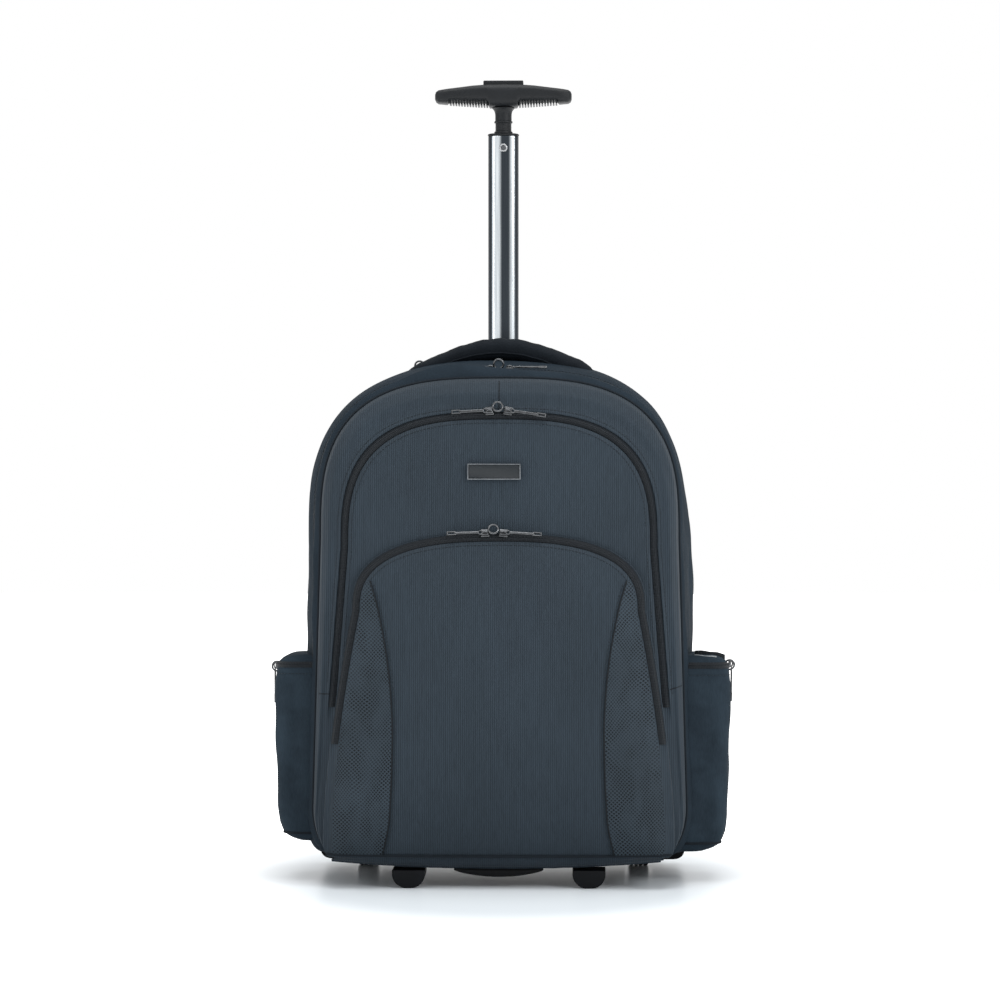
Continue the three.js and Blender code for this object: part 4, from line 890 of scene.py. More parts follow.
def zip_pull(with_ring, standing, ring_lift, ring_at=-SLIDER_LONG / 2 - RING_RADIUS + 0.8, ring_side=0.0):
    """A slider with its pull along x and the way off the cloth along y."""
    half_long, half_wide = SLIDER_LONG / 2, SLIDER_WIDE / 2
    waist = half_wide * 0.62
    parts = [
        rounded_block((-half_long, 0, -half_wide), (half_long, 1.4, half_wide), 0.5),
        rounded_block((-half_long * 0.8, 1.0, -waist), (half_long * 0.9, 2.6, waist), 0.7),
        round_bar([(-2.6, 2.4, 0), (-2.2, 3.5, 0), (0, 4.1, 0), (2.2, 3.5, 0), (2.6, 2.4, 0)], 0.8),
    ]
    middle = SLIDER_THICK * 0.6 + 0.5
    loop = circle(1.9, (half_long + 0.4, middle, 0), (1, 0, 0), (0, 0, 1), 18)
    parts.append(round_bar(loop, 0.55, closed=True))
    thick = PULL_THICK / 2
    start = half_long + 1.6
    end = PULL_LENGTH - 7
    parts.append(rounded_block((start, middle - thick, -1.3), (end, middle + thick, 1.3), 0.5))
    wide = PULL_WIDTH / 2
    rail = 0.55
    for z in (-wide + rail, wide - rail):
        low, high = (end - 1, middle - thick, z - rail), (PULL_LENGTH, middle + thick, z + rail)
        parts.append(rounded_block(low, high, 0.35))
    for x_from, x_to in ((PULL_LENGTH - 1.2, PULL_LENGTH), (end - 1.6, end - 0.2)):
        parts.append(rounded_block((x_from, middle - thick, -wide), (x_to, middle + thick, wide), 0.4))
    if with_ring:
        if standing:
            centre = (ring_at, ring_lift, 0)
            ring = circle(RING_RADIUS, centre, (1, 0, 0), (0, 1, 0))
        else:
            centre = (ring_at, middle, ring_side)
            ring = circle(RING_RADIUS, centre, (1, 0, 0), (0, 0, 1))
        parts.append(round_bar(ring, RING_WIRE, closed=True))
    return together(*parts)


def seated(made, point, along, out):
    """A part made at the origin, set down at a point with its x along and its y out."""
    along, out = np.asarray(along, float), np.asarray(out, float)
    out = out / np.linalg.norm(out)
    along = along - out * np.dot(along, out)
    along = along / np.linalg.norm(along)
    across = np.cross(along, out)
    points, faces = made
    return np.asarray(point) + points @ np.stack([along, out, across]), faces


def tape_spot(band, x, out):
    """The middle of a band at a given distance across the bag, and the way out of it there."""
    ring = band[0]
    spots = range(ZIP_FROM, ZIP_TO)
    at = min(spots, key=lambda i: abs((band[0][i][0] + band[1][i][0]) / 2 - x))
    share = (x - ring[at][0]) / (ring[at + 1][0] - ring[at][0])
    point = [(r[at] + (r[at + 1] - r[at]) * share) for r in band]
    return (point[0] + point[1]) / 2, out[at]


PAIR_X = SLIDER_LONG / 2 + RING_RADIUS + 0.4
SLIDER_SEAT = 1.6
PULL_TABLE = [
    {"node": "front_left", "band": front_band, "x": -PAIR_X, "way": -1, "droop": 0.06, "ring": "flat",
     "raise": 3.6},
    {"node": "front_right", "band": front_band, "x": PAIR_X, "way": 1, "droop": 0.16, "raise": 3.6},
    {"node": "lower_left", "band": lower_band, "x": -PAIR_X - 4, "way": -1, "droop": 0.05, "ring": "flat",
     "raise": 3.2},
    {"node": "lower_right", "band": lower_band, "x": PAIR_X - 4, "way": 1, "droop": 0.09, "raise": 3.2},
    {"node": "main_left", "band": main_band, "x": -PAIR_X, "way": -1, "droop": 0.05, "ring": "standing"},
    {"node": "main_right", "band": main_band, "x": PAIR_X, "way": 1, "droop": 0.16},
    {"node": "rear", "band": rear_band, "x": -88, "way": -1, "droop": 0.5, "ring": "standing", "tilt": 0.12},
]
for pull in PULL_TABLE:
    node, band = pull["node"], pull["band"]
    spot, out = tape_spot(band, pull["x"], band_out(*band, BAG_CENTRE))
    ring, rise = pull.get("ring"), pull.get("raise", 0)
    made = zip_pull(bool(ring), ring == "standing", RING_RADIUS + RING_WIRE, ring_side=rise * 0.9)
    hanging = np.clip(made[0][:, 0] - SLIDER_LONG / 2, 0, None)
    made[0][:, 1] -= hanging * pull.get("tilt", 0)
    along = (pull["way"] * math.cos(pull["droop"]), 0, -math.sin(pull["droop"]))
    lifted = spot + out * SLIDER_SEAT + [0, 0, rise]
    placed = seated(made, lifted, along, out)
    piece(f"puller_{node}", placed, gunmetal, stands_for=[f"zip_pull_{node}"])


# The badge: a small dark plate set in a thin metal frame, high on the front compartment. Its face is grained
# and left bare.
def hard_edges(node, width, finish, segments=2):
    """A hard piece that keeps its solid's shape, with its edges rounded and its finish put on."""
    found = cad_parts[node]
    weld = found.modifiers.new("weld", "WELD")
    weld.merge_threshold = 0.00002
    bevel = found.modifiers.new("bevel", "BEVEL")
    bevel.width = width / 1000
    bevel.segments = segments
    bevel.limit_method = "ANGLE"
    bevel.angle_limit = math.radians(28)
    bevel.harden_normals = True
    found.data.shade_smooth()
    found.data.materials.clear()
    found.data.materials.append(finish.material)
    return found


face_tones = (16, 20, 23), (26, 31, 35)
badge_finish, badge_grain = two_tone(
    "badge_face", (0.7,) * 3, 3.0, *face_tones, roughness=0.42, specular_ior_level=0.2
)
badge_finish.relief(badge_grain, 0.12)
frame_tones = (70, 74, 78), (116, 120, 124)
badge_metal, _ = two_tone("badge_metal", (3,) * 3, 3.0, *frame_tones, metallic=1.0, roughness=0.25)
hard_edges("badge_plate", 0.25, badge_finish)
hard_edges("badge_frame", 0.3, badge_metal)


# The hard base: black moulded wheel housings and feet under a tray, whose front is wrapped in the bag's
# cloth. A strap of webbing hangs under its middle as a hand hold.
plastic_tones = (7, 8, 10), (14, 16, 19)
black_plastic, plastic_wear = two_tone(
    "black_plastic", (22,) * 3, 4.0, *plastic_tones, specular_ior_level=0.09
)
black_plastic.set(roughness=0.42 + plastic_wear * 0.2)
black_plastic.relief(black_plastic.noise((0.9, 0.9, 0.9), 3.0), 0.12)

TRAY_HALF, TRAY_FRONT, TRAY_TOP, TRAY_BOTTOM = 155.0, -92.0, 31.5, 20.4
HEM_SHIFT = 2.5
WRAP_X = np.linspace(-TRAY_HALF, TRAY_HALF, 160)


def hem(x):
    """The lower edge of the cloth round the tray: it sags to the middle and is a little lumpy."""
    reach = np.abs(x) / TRAY_HALF
    lumps = 0.5 * ripple(np.stack([x, 0 * x, 0 * x], axis=1), (13, 1, 1), 2.6) * (1 - reach)
    return TRAY_BOTTOM + 6.4 * reach**2.2 + lumps


skirt_top = np.array([draped(x, TRAY_TOP)[0] for x in WRAP_X]) + [0, 1.2, 0]
skirt_foot = np.stack([WRAP_X, np.full(len(WRAP_X), TRAY_FRONT), hem(WRAP_X)], axis=1)
skirt_foot[:, 0] -= HEM_SHIFT
wrap_rows = []
for share in np.linspace(0, 1, 9):
    row = skirt_top + (skirt_foot - skirt_top) * share
    row[:, 1] -= 1.6 * puff(share) + 0.5 * ripple(row, (16, 9, 9), 4.9) * puff(share)
    wrap_rows.append(row)
for turn in np.linspace(0, math.pi / 2, 6)[1:]:
    round_by = [0, 3 * math.sin(turn), -2 * (1 - math.cos(turn))]
    wrap_rows.append(skirt_foot + round_by)
for y in np.linspace(TRAY_FRONT + 12, STEP_OVER_WHEELS, 12):
    wrap_rows.append(skirt_foot * [1, 0, 1] + [0, y, -2.0])
wrap_rows.append(skirt_foot * [1, 0, 0] + [0, STEP_OVER_WHEELS, BAG_BOTTOM - 0.3])
wrap_rows.append(skirt_top * [1, 0, 0] + [0, skirt_top[:, 1].max(), BAG_BOTTOM - 0.3])
wrap = skin(np.array(wrap_rows).transpose(1, 0, 2), cap_first=True, cap_last=True)
piece("base_wrap", wrap, front_cloth)
rear_base = rounded_block((-99.7, 52.7, 17), (99.7, 118, 76), 2.0, 3)
piece("base_rear", rear_base, black_plastic, stands_for=["base_tray"])
for side in ("left", "right"):
    hard_edges(f"wheel_housing_{side}", 1.6, black_plastic, 3)
    hard_edges(f"foot_{side}", 1.8, black_plastic, 3)


def webbing(name):
    """Flat woven nylon: twill ribs across the strap and closer edges."""
    made = Finish(name, roughness=0.66, specular_ior_level=0.1)
    x, y, z = made.axes()
    run = made.node("ShaderNodeAttribute", {"attribute_name": "run"}, output="Fac")
    rib = (run + x * 0.5).sine(1.6)
    fine = made.noise((1.0, 1.0, 1.0), 2.0)
    made.set(base_color=made.mix(rib * 0.6 + fine * 0.4, screen(4, 5, 6), screen(10, 11, 13)))
    made.relief(rib * 0.7 + fine * 0.3, 0.4)
    return made


webbing_finish = webbing("webbing")


def flat_band(centres, across, off, half_widths, half_thicknesses, edge=0.55, steps=5):
    """A flat band with rounded edges through centres, with the ways across and off it at each."""
    rows = []
    for centre, side, up, wide, thick in zip(centres, across, off, half_widths, half_thicknesses):
        round_by = min(min(wide, thick) * edge * 1.6, thick)
        turns = np.linspace(0, math.pi / 2, steps)
        corner = [wide - round_by, thick - round_by]
        quarter = corner + round_by * np.stack([np.cos(turns), np.sin(turns)], axis=1)
        fill = np.stack([np.linspace(wide - round_by, 0, 8)[1:], np.full(7, thick)], 1)
        half = np.concatenate([quarter, fill])
        upper = np.concatenate([half, (half * [-1, 1])[::-1][1:]])
        ring = np.concatenate([upper, (upper * [1, -1])[::-1]])
        rows.append(centre + ring[:, :1] * side + ring[:, 1:] * up)
    return rows


HOLD_HALF, HOLD_DROP, HOLD_TOP, HOLD_THIN = 42.0, 6.6, 18.4, 1.4
HOLD_Y, HOLD_DEEP = -78.0, 12
HOLD_ROWS = 48
hold_x = np.linspace(-HOLD_HALF, HOLD_HALF, HOLD_ROWS)
hold_low = HOLD_TOP - HOLD_THIN - HOLD_DROP * (1 - (hold_x / HOLD_HALF) ** 2) ** 0.8
hold_centres = np.stack([hold_x, np.full(HOLD_ROWS, HOLD_Y), (HOLD_TOP + hold_low) / 2], axis=1)
level, upright = [(0, 1, 0)] * HOLD_ROWS, [(0, 0, 1)] * HOLD_ROWS
hold_rows = flat_band(hold_centres, level, upright, [HOLD_DEEP] * HOLD_ROWS, (HOLD_TOP - hold_low) / 2)
hold_run = np.repeat(run_along(hold_centres)[:, None], len(hold_rows[0]), axis=1)
hold = skin(hold_rows, cap_first=True, cap_last=True)
piece("hand_hold", hold, webbing_finish, stands_for=["bottom_grip"], run=hold_run)


# The wheels: rubber tyres with a grooved tread on moulded hubs with six spokes. They turn on plated steel
# axles, which are fixed in the housings.
WHEEL_RADIUS, WHEEL_X, WHEEL_Y = 32.0, 135.0, 98.0


def turned(profile, centre, sides=72):
    """A ring turned about a line along x through a centre. The profile lists radius and x."""
    rows = []
    for turn in np.linspace(0, 2 * math.pi, sides, endpoint=False):
        rows.append([(x, r * math.cos(turn), r * math.sin(turn)) for r, x in profile])
    rows = np.array(rows + rows[:1]) + np.array(centre)
    return skin(rows)


rubber_tones = (22, 22, 23), (44, 44, 45)
rubber, _ = two_tone("rubber", (9,) * 3, 4.0, *rubber_tones, roughness=0.78, specular_ior_level=0.12)
rubber.relief(rubber.noise((0.8, 0.8, 0.8), 2.0), 0.15)
hub_tones = (44, 46, 49), (66, 68, 71)
hub_plastic, hub_wear = two_tone("hub_plastic", (12,) * 3, 3.0, *hub_tones, specular_ior_level=0.25)
hub_plastic.set(roughness=0.36 + hub_wear * 0.16)
steel_tones = (112, 114, 116), (162, 164, 166)
steel, steel_grain = two_tone("plated_steel", (8, 0.6, 0.6), 2.0, *steel_tones, metallic=1.0)
steel.set(roughness=0.24 + steel_grain * 0.16)
tread_side = [(24, -10), (29.6, -10), (31.2, -9.3), (32, -7.6)]
tread_side += [(32, -5.2), (31.1, -4.9), (31.1, -4.1), (32, -3.8)]
middle_groove = [(32, -0.6), (31.1, -0.4), (31.1, 0.4), (32, 0.6)]
tread = tread_side + middle_groove + [(r, -x) for r, x in tread_side[::-1]]
for side_name, side in (("left", -1), ("right", 1)):
    centre = (side * WHEEL_X, WHEEL_Y, WHEEL_RADIUS)
    ride_on = f"wheel_{side_name}"
    piece(f"tyre_tread_{side_name}", turned(tread, centre), rubber, ride_on, [f"tyre_{side_name}"])
    rim = turned([(19.5, -9), (23.7, -9), (23.7, 9), (19.5, 9), (18.6, 8), (18.6, -8)], centre)
    boss = turned([(3.5, -9), (6.8, -9), (7.5, -8.2), (7.5, 8.2), (6.8, 9), (3.5, 9)], centre, 48)
    web = turned([(7, -1.6), (19, -1.6), (19, 1.6), (7, 1.6)], centre, 48)
    spokes = []
    for i in range(6):
        points, faces = rounded_block((-7.4, 6.5, -1.8), (7.4, 19.4, 1.8), 0.6)
        turn = i * math.pi / 3
        y = points[:, 1] * math.cos(turn) - points[:, 2] * math.sin(turn)
        z = points[:, 1] * math.sin(turn) + points[:, 2] * math.cos(turn)
        spokes.append((np.stack([points[:, 0], y, z], 1) + np.array(centre), faces))
    hub_skin = together(rim, boss, web, *spokes)
    piece(f"hub_spokes_{side_name}", hub_skin, hub_plastic, ride_on, [f"hub_{side_name}"], smooth=False)
    hard_edges(f"axle_{side_name}", 0.4, steel)


# The side pockets: boxes of thin cloth sewn to the body's sides, with a zip round the upper edge. They are
# limp, so they hang in soft upright folds, and the right one is part open and shows its pale lining.
SIDE_TABLE = {
    "rise": [0, 0.015, 0.035, 0.06, 0.1, 0.18, 0.35, 0.6, 0.85, 0.93, 0.968, 0.99, 1],
    "reach": [0.25, 0.48, 0.66, 0.76, 0.85, 0.92, 0.98, 1, 0.985, 0.94, 0.85, 0.7, 0.5],
    "tuck": [0.6, 0.38, 0.22, 0.12, 0.05, 0, 0, 0, 0, 0.04, 0.12, 0.3, 0.5],
}
SIDE_FRONT, SIDE_BACK, SIDE_TOP, SIDE_ROUND, SIDE_ROOT = -46.0, 50.0, 217.0, 16.0, 150.0
SIDE_RING_STEPS = 64
SIDE_POCKETS = {
    "left": {"side": -1, "reach": 30.0, "bottom": 38.5, "seed": 2.3, "ring": 206.0},
    "right": {"side": 1, "reach": 35.0, "bottom": 29.0, "seed": 8.9, "ring": 208.0},
}


def side_ring(pocket, rise, fold=1.0, lift=0.0):
    """A side pocket's outline at a share of its height, with its folds, and the way out of it."""
    reach, tuck = (np.interp(rise, SIDE_TABLE["rise"], SIDE_TABLE[key]) for key in ("reach", "tuck"))
    z = pocket["bottom"] + (SIDE_TOP - pocket["bottom"]) * rise
    front = SIDE_FRONT + SIDE_ROUND * tuck
    back = SIDE_BACK - SIDE_ROUND * tuck
    outer = BAG_HALF + pocket["reach"] * reach
    turns = np.linspace(0, math.pi / 2, 9)
    sines, cosines = SIDE_ROUND * np.sin(turns), SIDE_ROUND * np.cos(turns)
    wide = outer - SIDE_ROUND
    front_arc = list(zip(wide + sines, front + SIDE_ROUND - cosines))
    back_arc = list(zip(wide + cosines, back - SIDE_ROUND + sines))
    line = even_steps([(SIDE_ROOT, front)] + front_arc + back_arc + [(SIDE_ROOT, back)], SIDE_RING_STEPS)
    ring = np.stack([line[:, 0], line[:, 1], np.full(len(line), z)], axis=1)
    centre = np.array([SIDE_ROOT, (front + back) / 2, z])
    out = np.gradient(ring, axis=0)[:, [1, 0, 2]] * [1, -1, 0]
    out /= np.linalg.norm(out, axis=1, keepdims=True)
    out[np.sum(out * (ring - centre), axis=1) < 0] *= -1
    seed = pocket["seed"]
    waves = 3.0 * ripple(ring, (30, 22, 80), seed) + 1.9 * ripple(ring, (18, 14, 34), seed + 4)
    slant = ring[:, 1] * 0.8 + z * 0.55
    waves = waves + 2.2 * np.sin(slant / 13.0 + seed) * ripple(ring, (60, 60, 60), 1.7)
    softness = puff((rise - 0.02) / 0.93, 0.5) * fold
    away = np.clip((line[:, 0] - BAG_HALF + 6) / 16, 0, 1)
    ring = ring + out * ((waves - 1.6) * softness * away + lift)[:, None]
    ring[:, 0] *= pocket["side"]
    out[:, 0] *= pocket["side"]
    return ring, out


pocket_cloth = smooth_cloth("pocket_cloth", screen(37, 47, 55), screen(19, 25, 31), painted_crease_shade=0.34)
lining_tones = (96, 101, 104), (122, 126, 128)
lining_cloth, _ = two_tone("lining_cloth", (1.2,) * 3, 2.0, *lining_tones, roughness=0.7, sheen_weight=0.2)
TAPE_LOW, TAPE_HIGH = 0.93, 0.968
foot_rises, wall_rises = np.linspace(0, 0.1, 12)[:-1], np.linspace(0.1, 0.92, 40)[:-1]
POCKET_RISES = np.concatenate([foot_rises, wall_rises, np.linspace(0.92, 1, 12)])
PULL_AT = 26
for name, pocket in SIDE_POCKETS.items():
    side = pocket["side"]
    rows = [side_ring(pocket, rise)[0] for rise in POCKET_RISES]
    cloth = skin(rows, cap_first=True, cap_last=True)
    made = piece(f"side_pocket_cloth_{name}", cloth, pocket_cloth, stands_for=[f"side_pocket_{name}"])
    low, out = side_ring(pocket, TAPE_LOW, 0.3)
    high, _ = side_ring(pocket, TAPE_HIGH, 0.3)
    slope = np.cross(np.gradient(low, axis=0), high - low)
    slope /= np.linalg.norm(slope, axis=1, keepdims=True)
    slope[np.sum(slope * out, axis=1) < 0] *= -1
    chosen = slice(8, 57)
    zip_chain(f"zip_chain_side_{name}", low[chosen], high[chosen], slope[chosen], f"zip_side_{name}")
    edge, edge_out = side_ring(pocket, 0.9, 1.0, 0.1)
    stitch = stitches(edge[6:59], edge_out[6:59])
    foot, _ = side_ring(pocket, 0.045, 0.5, 0.2)
    piece(f"side_pocket_binding_{name}", round_bar(foot[4:61], 1.2), binding_cloth)
    piece(f"side_pocket_stitching_{name}", stitch, thread_finish)
    spot, _ = side_ring(pocket, (TAPE_LOW + TAPE_HIGH) / 2, 0.3)
    pull = zip_pull(True, True, RING_RADIUS / 4, ring_at=1.0)
    x, y, _ = spot[PULL_AT]
    placed = seated(pull, [x + side, y, pocket["ring"]], (0, 0, -1), (side, 0, 0))
    piece(f"puller_side_{name}", placed, gunmetal, stands_for=[f"zip_pull_side_{name}"])

LIP_ROWS = 24
MOUTH_LIPS = [
    {"name": "pocket_mouth_tape", "finish": tape_finish, "y": -21.0, "half_high": 3.6,
     "ends": [(187, 217.6), (216, 213.5)]},
    {"name": "pocket_lining", "finish": lining_cloth, "y": -36.0, "half_high": 0.6,
     "ends": [(186, 216.6), (207, 215.4)]},
]
for lip in MOUTH_LIPS:
    (x_from, z_from), (x_to, z_to) = lip["ends"]
    share = np.linspace(0, 1, LIP_ROWS)
    x, z = x_from + (x_to - x_from) * share, z_from + (z_to - z_from) * share**2
    line = np.stack([x, lip["y"] - 2 * puff(share), z], axis=1)
    line[:, 2] += 0.8 * ripple(line, (9, 9, 9), 3.3)
    upright, level = [(0, 0, 1)] * LIP_ROWS, [(0, 1, 0)] * LIP_ROWS
    rows = flat_band(line, upright, level, [lip["half_high"]] * LIP_ROWS, [0.6] * LIP_ROWS)
    run = np.repeat(run_along(line)[:, None], len(rows[0]), axis=1)
    piece(lip["name"], skin(rows, cap_first=True, cap_last=True), lip["finish"], run=run)


# The carry handle: a padded near-black cloth roll that arches over the top of the bag. It is sewn in at both
# ends, and a seam runs along each of its edges.
handle_cloth = Finish("handle_cloth", roughness=0.7, sheen_weight=0.0, specular_ior_level=0.05)
handle_x, handle_y, _ = handle_cloth.axes()
handle_weave = (handle_x.sine(1.2) + handle_y.sine(1.2)) * 0.5
handle_soft = handle_cloth.noise((30, 30, 18), 3.0)
handle_cloth.set(base_color=handle_cloth.mix(handle_soft, screen(10, 13, 17), screen(18, 23, 28)))
handle_cloth.relief(handle_weave * 0.08 + handle_soft * 0.92, 1.2)
HANDLE_TABLE = {
    "x": [-97, -90, -80, -60, -40, -20, 0, 18, 38, 57, 77, 86, 91, 96],
    "top": [487, 493, 499.5, 508.3, 516, 521.6, 523.6, 522.2, 517, 510, 502, 495.5, 490, 484],
    "low": [474, 478, 482.5, 490, 496.5, 500.5, 501.6, 500.2, 494.4, 486.5, 480, 477, 475, 473],
    "wide": [24, 25, 27, 30, 29, 28, 27, 28, 30, 32, 31, 30, 28, 26],
    "nearer": [0, 0, 0, 0, 0, 0, 0, 0, 3, 7, 10, 10, 10, 9],
}
HANDLE_MIDDLE = 22.0


def squared_circle(count, power):
    """Points of a circle of radius 1 that is drawn out towards a square as the power falls."""
    turns = np.linspace(0, 2 * math.pi, count, endpoint=False)
    return [np.sign(wave) * np.abs(wave) ** power for wave in (np.cos(turns), np.sin(turns))]


HANDLE_RING = 44
FRONT_EDGE, BACK_EDGE = 24, 42
handle_rows = []
for x in np.linspace(-96, 95, 72):
    found = {key: np.interp(x, HANDLE_TABLE["x"], HANDLE_TABLE[key]) for key in HANDLE_TABLE}
    top, low = found["top"], found["low"]
    across, up = squared_circle(HANDLE_RING, 0.85)
    y = HANDLE_MIDDLE - found["nearer"] + found["wide"] / 2 * across
    ring = np.stack([np.full(HANDLE_RING, x), y, (top + low) / 2 + (top - low) / 2 * up], axis=1)
    ring[:, 2] += 0.6 * ripple(ring, (14, 30, 30), 4.4) + 0.5 * ripple(ring, (5, 30, 9), 6.1)
    handle_rows.append(ring)
handle_skin = skin(handle_rows, cap_first=True, cap_last=True)
handle = piece("carry_handle_pad", handle_skin, handle_cloth, stands_for=["carry_handle"])
edge_lines = [np.array(handle_rows)[3:-3, at] - [0, 0, 0.3] for at in (FRONT_EDGE, BACK_EDGE)]
edges = [round_bar(line, 0.9) for line in edge_lines]
piece("carry_handle_seams", together(*edges), handle_cloth)


# The pole: a polished oval aluminium tube with dark reflections painted on its round edges and in a band
# down its middle. It slides in a guide tube below a black collar in the bag's top, and a rivet near its head
# holds the neck.
OVAL_END_STEPS = 12


def oval_ring(width, depth, z):
    """A flat-sided oval at a height, with round ends."""
    end = depth / 2
    side = width / 2 - end
    right = np.linspace(-math.pi / 2, math.pi / 2, OVAL_END_STEPS + 1)
    points = [(side + end * math.cos(t), end * math.sin(t)) for t in right]
    points += [(-side - end * math.cos(t), -end * math.sin(t)) for t in right]
    return np.array([(x, POLE_BEHIND + y, z) for x, y in points])


tube_finish = Finish("tube", metallic=1.0, roughness=0.16)
tube_x = tube_finish.axes()[0]
from_middle = tube_x - BAG_X * 1000
# Painted reflection: a dark band a little off the tube's middle and dark round edges, in the shade colour
# below, stand in for dark surroundings mirrored in the metal.
middle_painted_reflection = 1 - (from_middle - 2.0).size().between(3.2, 7.0)
edge_painted_reflection = (from_middle - 0.2).size().between(8.8, 12.2)
brushed = tube_finish.noise((0.7, 0.7, 60), 2.0)
bright = tube_finish.mix(brushed.between(0.3, 0.7), screen(196, 203, 208), screen(232, 238, 242))
shade = tube_finish.mix(brushed, screen(44, 49, 54), screen(56, 61, 66))
painted_reflection_share = tube_finish.node("ShaderNodeMath", {"operation": "MAXIMUM"}, middle_painted_reflection, edge_painted_reflection)
tube_finish.set(base_color=tube_finish.mix(painted_reflection_share, bright, shade))
tube_finish.set(roughness=0.14 + painted_reflection_share * 0.16 + brushed * 0.05)
POLE_TOP, POLE_FOOT = pole_high.z * 1000, pole_low.z * 1000
TUBE_WIDE, TUBE_DEEP, TUBE_WALL = 30.4, 17.6, 1.4
foot_ring = oval_ring(TUBE_WIDE - 1.8, TUBE_DEEP - 1.8, POLE_FOOT + 1)
BORE_WIDE, BORE_DEEP = TUBE_WIDE - 2 * TUBE_WALL, TUBE_DEEP - 2 * TUBE_WALL
inner_rings = [oval_ring(BORE_WIDE, BORE_DEEP, z) for z in (POLE_FOOT, POLE_TOP)]
tube_heights = [POLE_FOOT, *np.linspace(POLE_FOOT + 0.5, POLE_TOP - 0.5, 24), POLE_TOP]
tube_rows = [oval_ring(TUBE_WIDE, TUBE_DEEP, z) for z in tube_heights]
tube_rows = [foot_ring, inner_rings[0], *tube_rows, inner_rings[1]]
piece("pole_tube", skin(tube_rows, cap_first=True, cap_last=True), tube_finish, "trolley", ["pole"])
hard_edges("pole_guide", 0.3, steel)
hard_edges("pole_collar", 1.4, black_plastic, 3)

rivet_low, rivet_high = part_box("pole_rivet")
rivet_centre = np.array([0, POLE_BEHIND - TUBE_DEEP / 2 - 0.3, (rivet_low.z + rivet_high.z) * 500])
RIVET_PROFILE = [(4.3, 0), (4.3, 0.5), (3.9, 1.1), (3.2, 1.3), (2.7, 1.1), (2.5, 0.5)]
RIVET_HEAD = [(2.45, 0.4), (2.45, 0.8), (1.9, 1.0), (0.9, 1.1), (0.2, 1.1)]


def facing_front(profile, centre):
    """A small turned part that faces the front. The profile lists radius and how proud it stands."""
    rows = []
    for radius, proud in profile:
        rows.append(circle(radius, centre - np.array([0, proud, 0]), (1, 0, 0), (0, 0, 1), 32))
    return skin(rows, cap_first=True, cap_last=True)


piece("rivet", facing_front(RIVET_PROFILE, rivet_centre), steel, "trolley", ["pole_rivet"])
piece("rivet_head", facing_front(RIVET_HEAD, rivet_centre), hub_plastic, "trolley")


# The grip: a black moulded T with a release button let into its top and two rows of fine teeth under it. It
# stands on a ribbed neck on the pole's cap.
grip_tones = (11, 13, 15), (18, 21, 24)
grip_plastic, grip_wear = two_tone("grip_plastic", (26,) * 3, 4.0, *grip_tones, specular_ior_level=0.16)
grip_plastic.set(roughness=0.4 + grip_wear * 0.18)
grip_plastic.relief(grip_plastic.noise((0.8, 0.8, 0.8), 2.0), 0.1)

cap_low, cap_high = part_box("pole_cap")
cap_foot, cap_top = cap_low.z * 1000, cap_high.z * 1000
CAP_WIDE, CAP_DEEP = 31.2, 18.4
cap_rows = []
for inset, z in ((0.8, cap_foot), (0, cap_foot + 0.5), (0, cap_top - 0.6), (0.9, cap_top)):
    cap_rows.append(oval_ring(CAP_WIDE - 2 * inset, CAP_DEEP - 2 * inset, z))
piece("pole_head_cap", skin(cap_rows, cap_first=True, cap_last=True), grip_plastic, "trolley", ["pole_cap"])

neck_low, neck_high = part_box("grip_neck")
NECK_TABLE = {
    "rise": [0, 0.07, 0.09, 0.41, 0.42, 0.48, 0.49, 0.72, 0.8, 0.88, 0.95, 1],
    "flare": [0.3, 0.3, 0, 0, 0.3, 0.3, 0, 0.01, 0.06, 0.24, 0.6, 1],
}
neck_rows = []
neck_height = (neck_high.z - neck_low.z) * 1000
for rise in np.linspace(0, 1, 90):
    flare = np.interp(rise, NECK_TABLE["rise"], NECK_TABLE["flare"])
    ribs = 0.35 * max(0.0, math.sin(rise * neck_height * 2 * math.pi / 1.5)) if 0.09 < rise < 0.41 else 0
    radius = 8.2 + 3.2 * flare + ribs - (0.35 if 0.09 < rise < 0.41 else 0)
    centre = (0, POLE_BEHIND, neck_low.z * 1000 + neck_height * rise)
    neck_rows.append(circle(radius, centre, (1, 0, 0), (0, 1, 0), 48))
piece("neck", skin(neck_rows, cap_first=True, cap_last=True), grip_plastic, "trolley", ["grip_neck"])

GRIP_TABLE = {
    "along": [0, 0.2, 0.235, 0.45, 0.7, 0.79, 0.82, 0.88, 0.95, 0.985, 1],
    "top": [1, 0.99, 0.985, 0.94, 0.85, 0.82, 0.81, 0.785, 0.75, 0.68, 0.58],
    "bottom": [0, 0.005, 0.2, 0.22, 0.25, 0.255, 0.155, 0.17, 0.185, 0.25, 0.35],
    "depth": [1, 1, 0.99, 0.96, 0.88, 0.85, 0.84, 0.8, 0.72, 0.58, 0.36],
}
GRIP_HALF, GRIP_DEPTH, GRIP_RING = 68.4, 30.0, 44
TEETH_A_SIDE, TEETH_FROM, TEETH_PITCH = 14, 16.4, 2.82
grip_foot, grip_crest = (corner.z * 1000 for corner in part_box("grip"))
button_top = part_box("grip_button")[1].z * 1000


def grip_section(along):
    """The grip's section at a share of its half length."""
    found = {key: np.interp(abs(along), GRIP_TABLE["along"], GRIP_TABLE[key]) for key in GRIP_TABLE}
    top, bottom, depth = found["top"], found["bottom"], found["depth"]
    half_high = (grip_crest - grip_foot) * (top - bottom) / 2
    middle = grip_foot + (grip_crest - grip_foot) * (top + bottom) / 2
    across, up = squared_circle(GRIP_RING, 0.6)
    y = POLE_BEHIND + GRIP_DEPTH / 2 * depth * across
    return np.stack([np.full(GRIP_RING, GRIP_HALF * along), y, middle + half_high * up], axis=1)


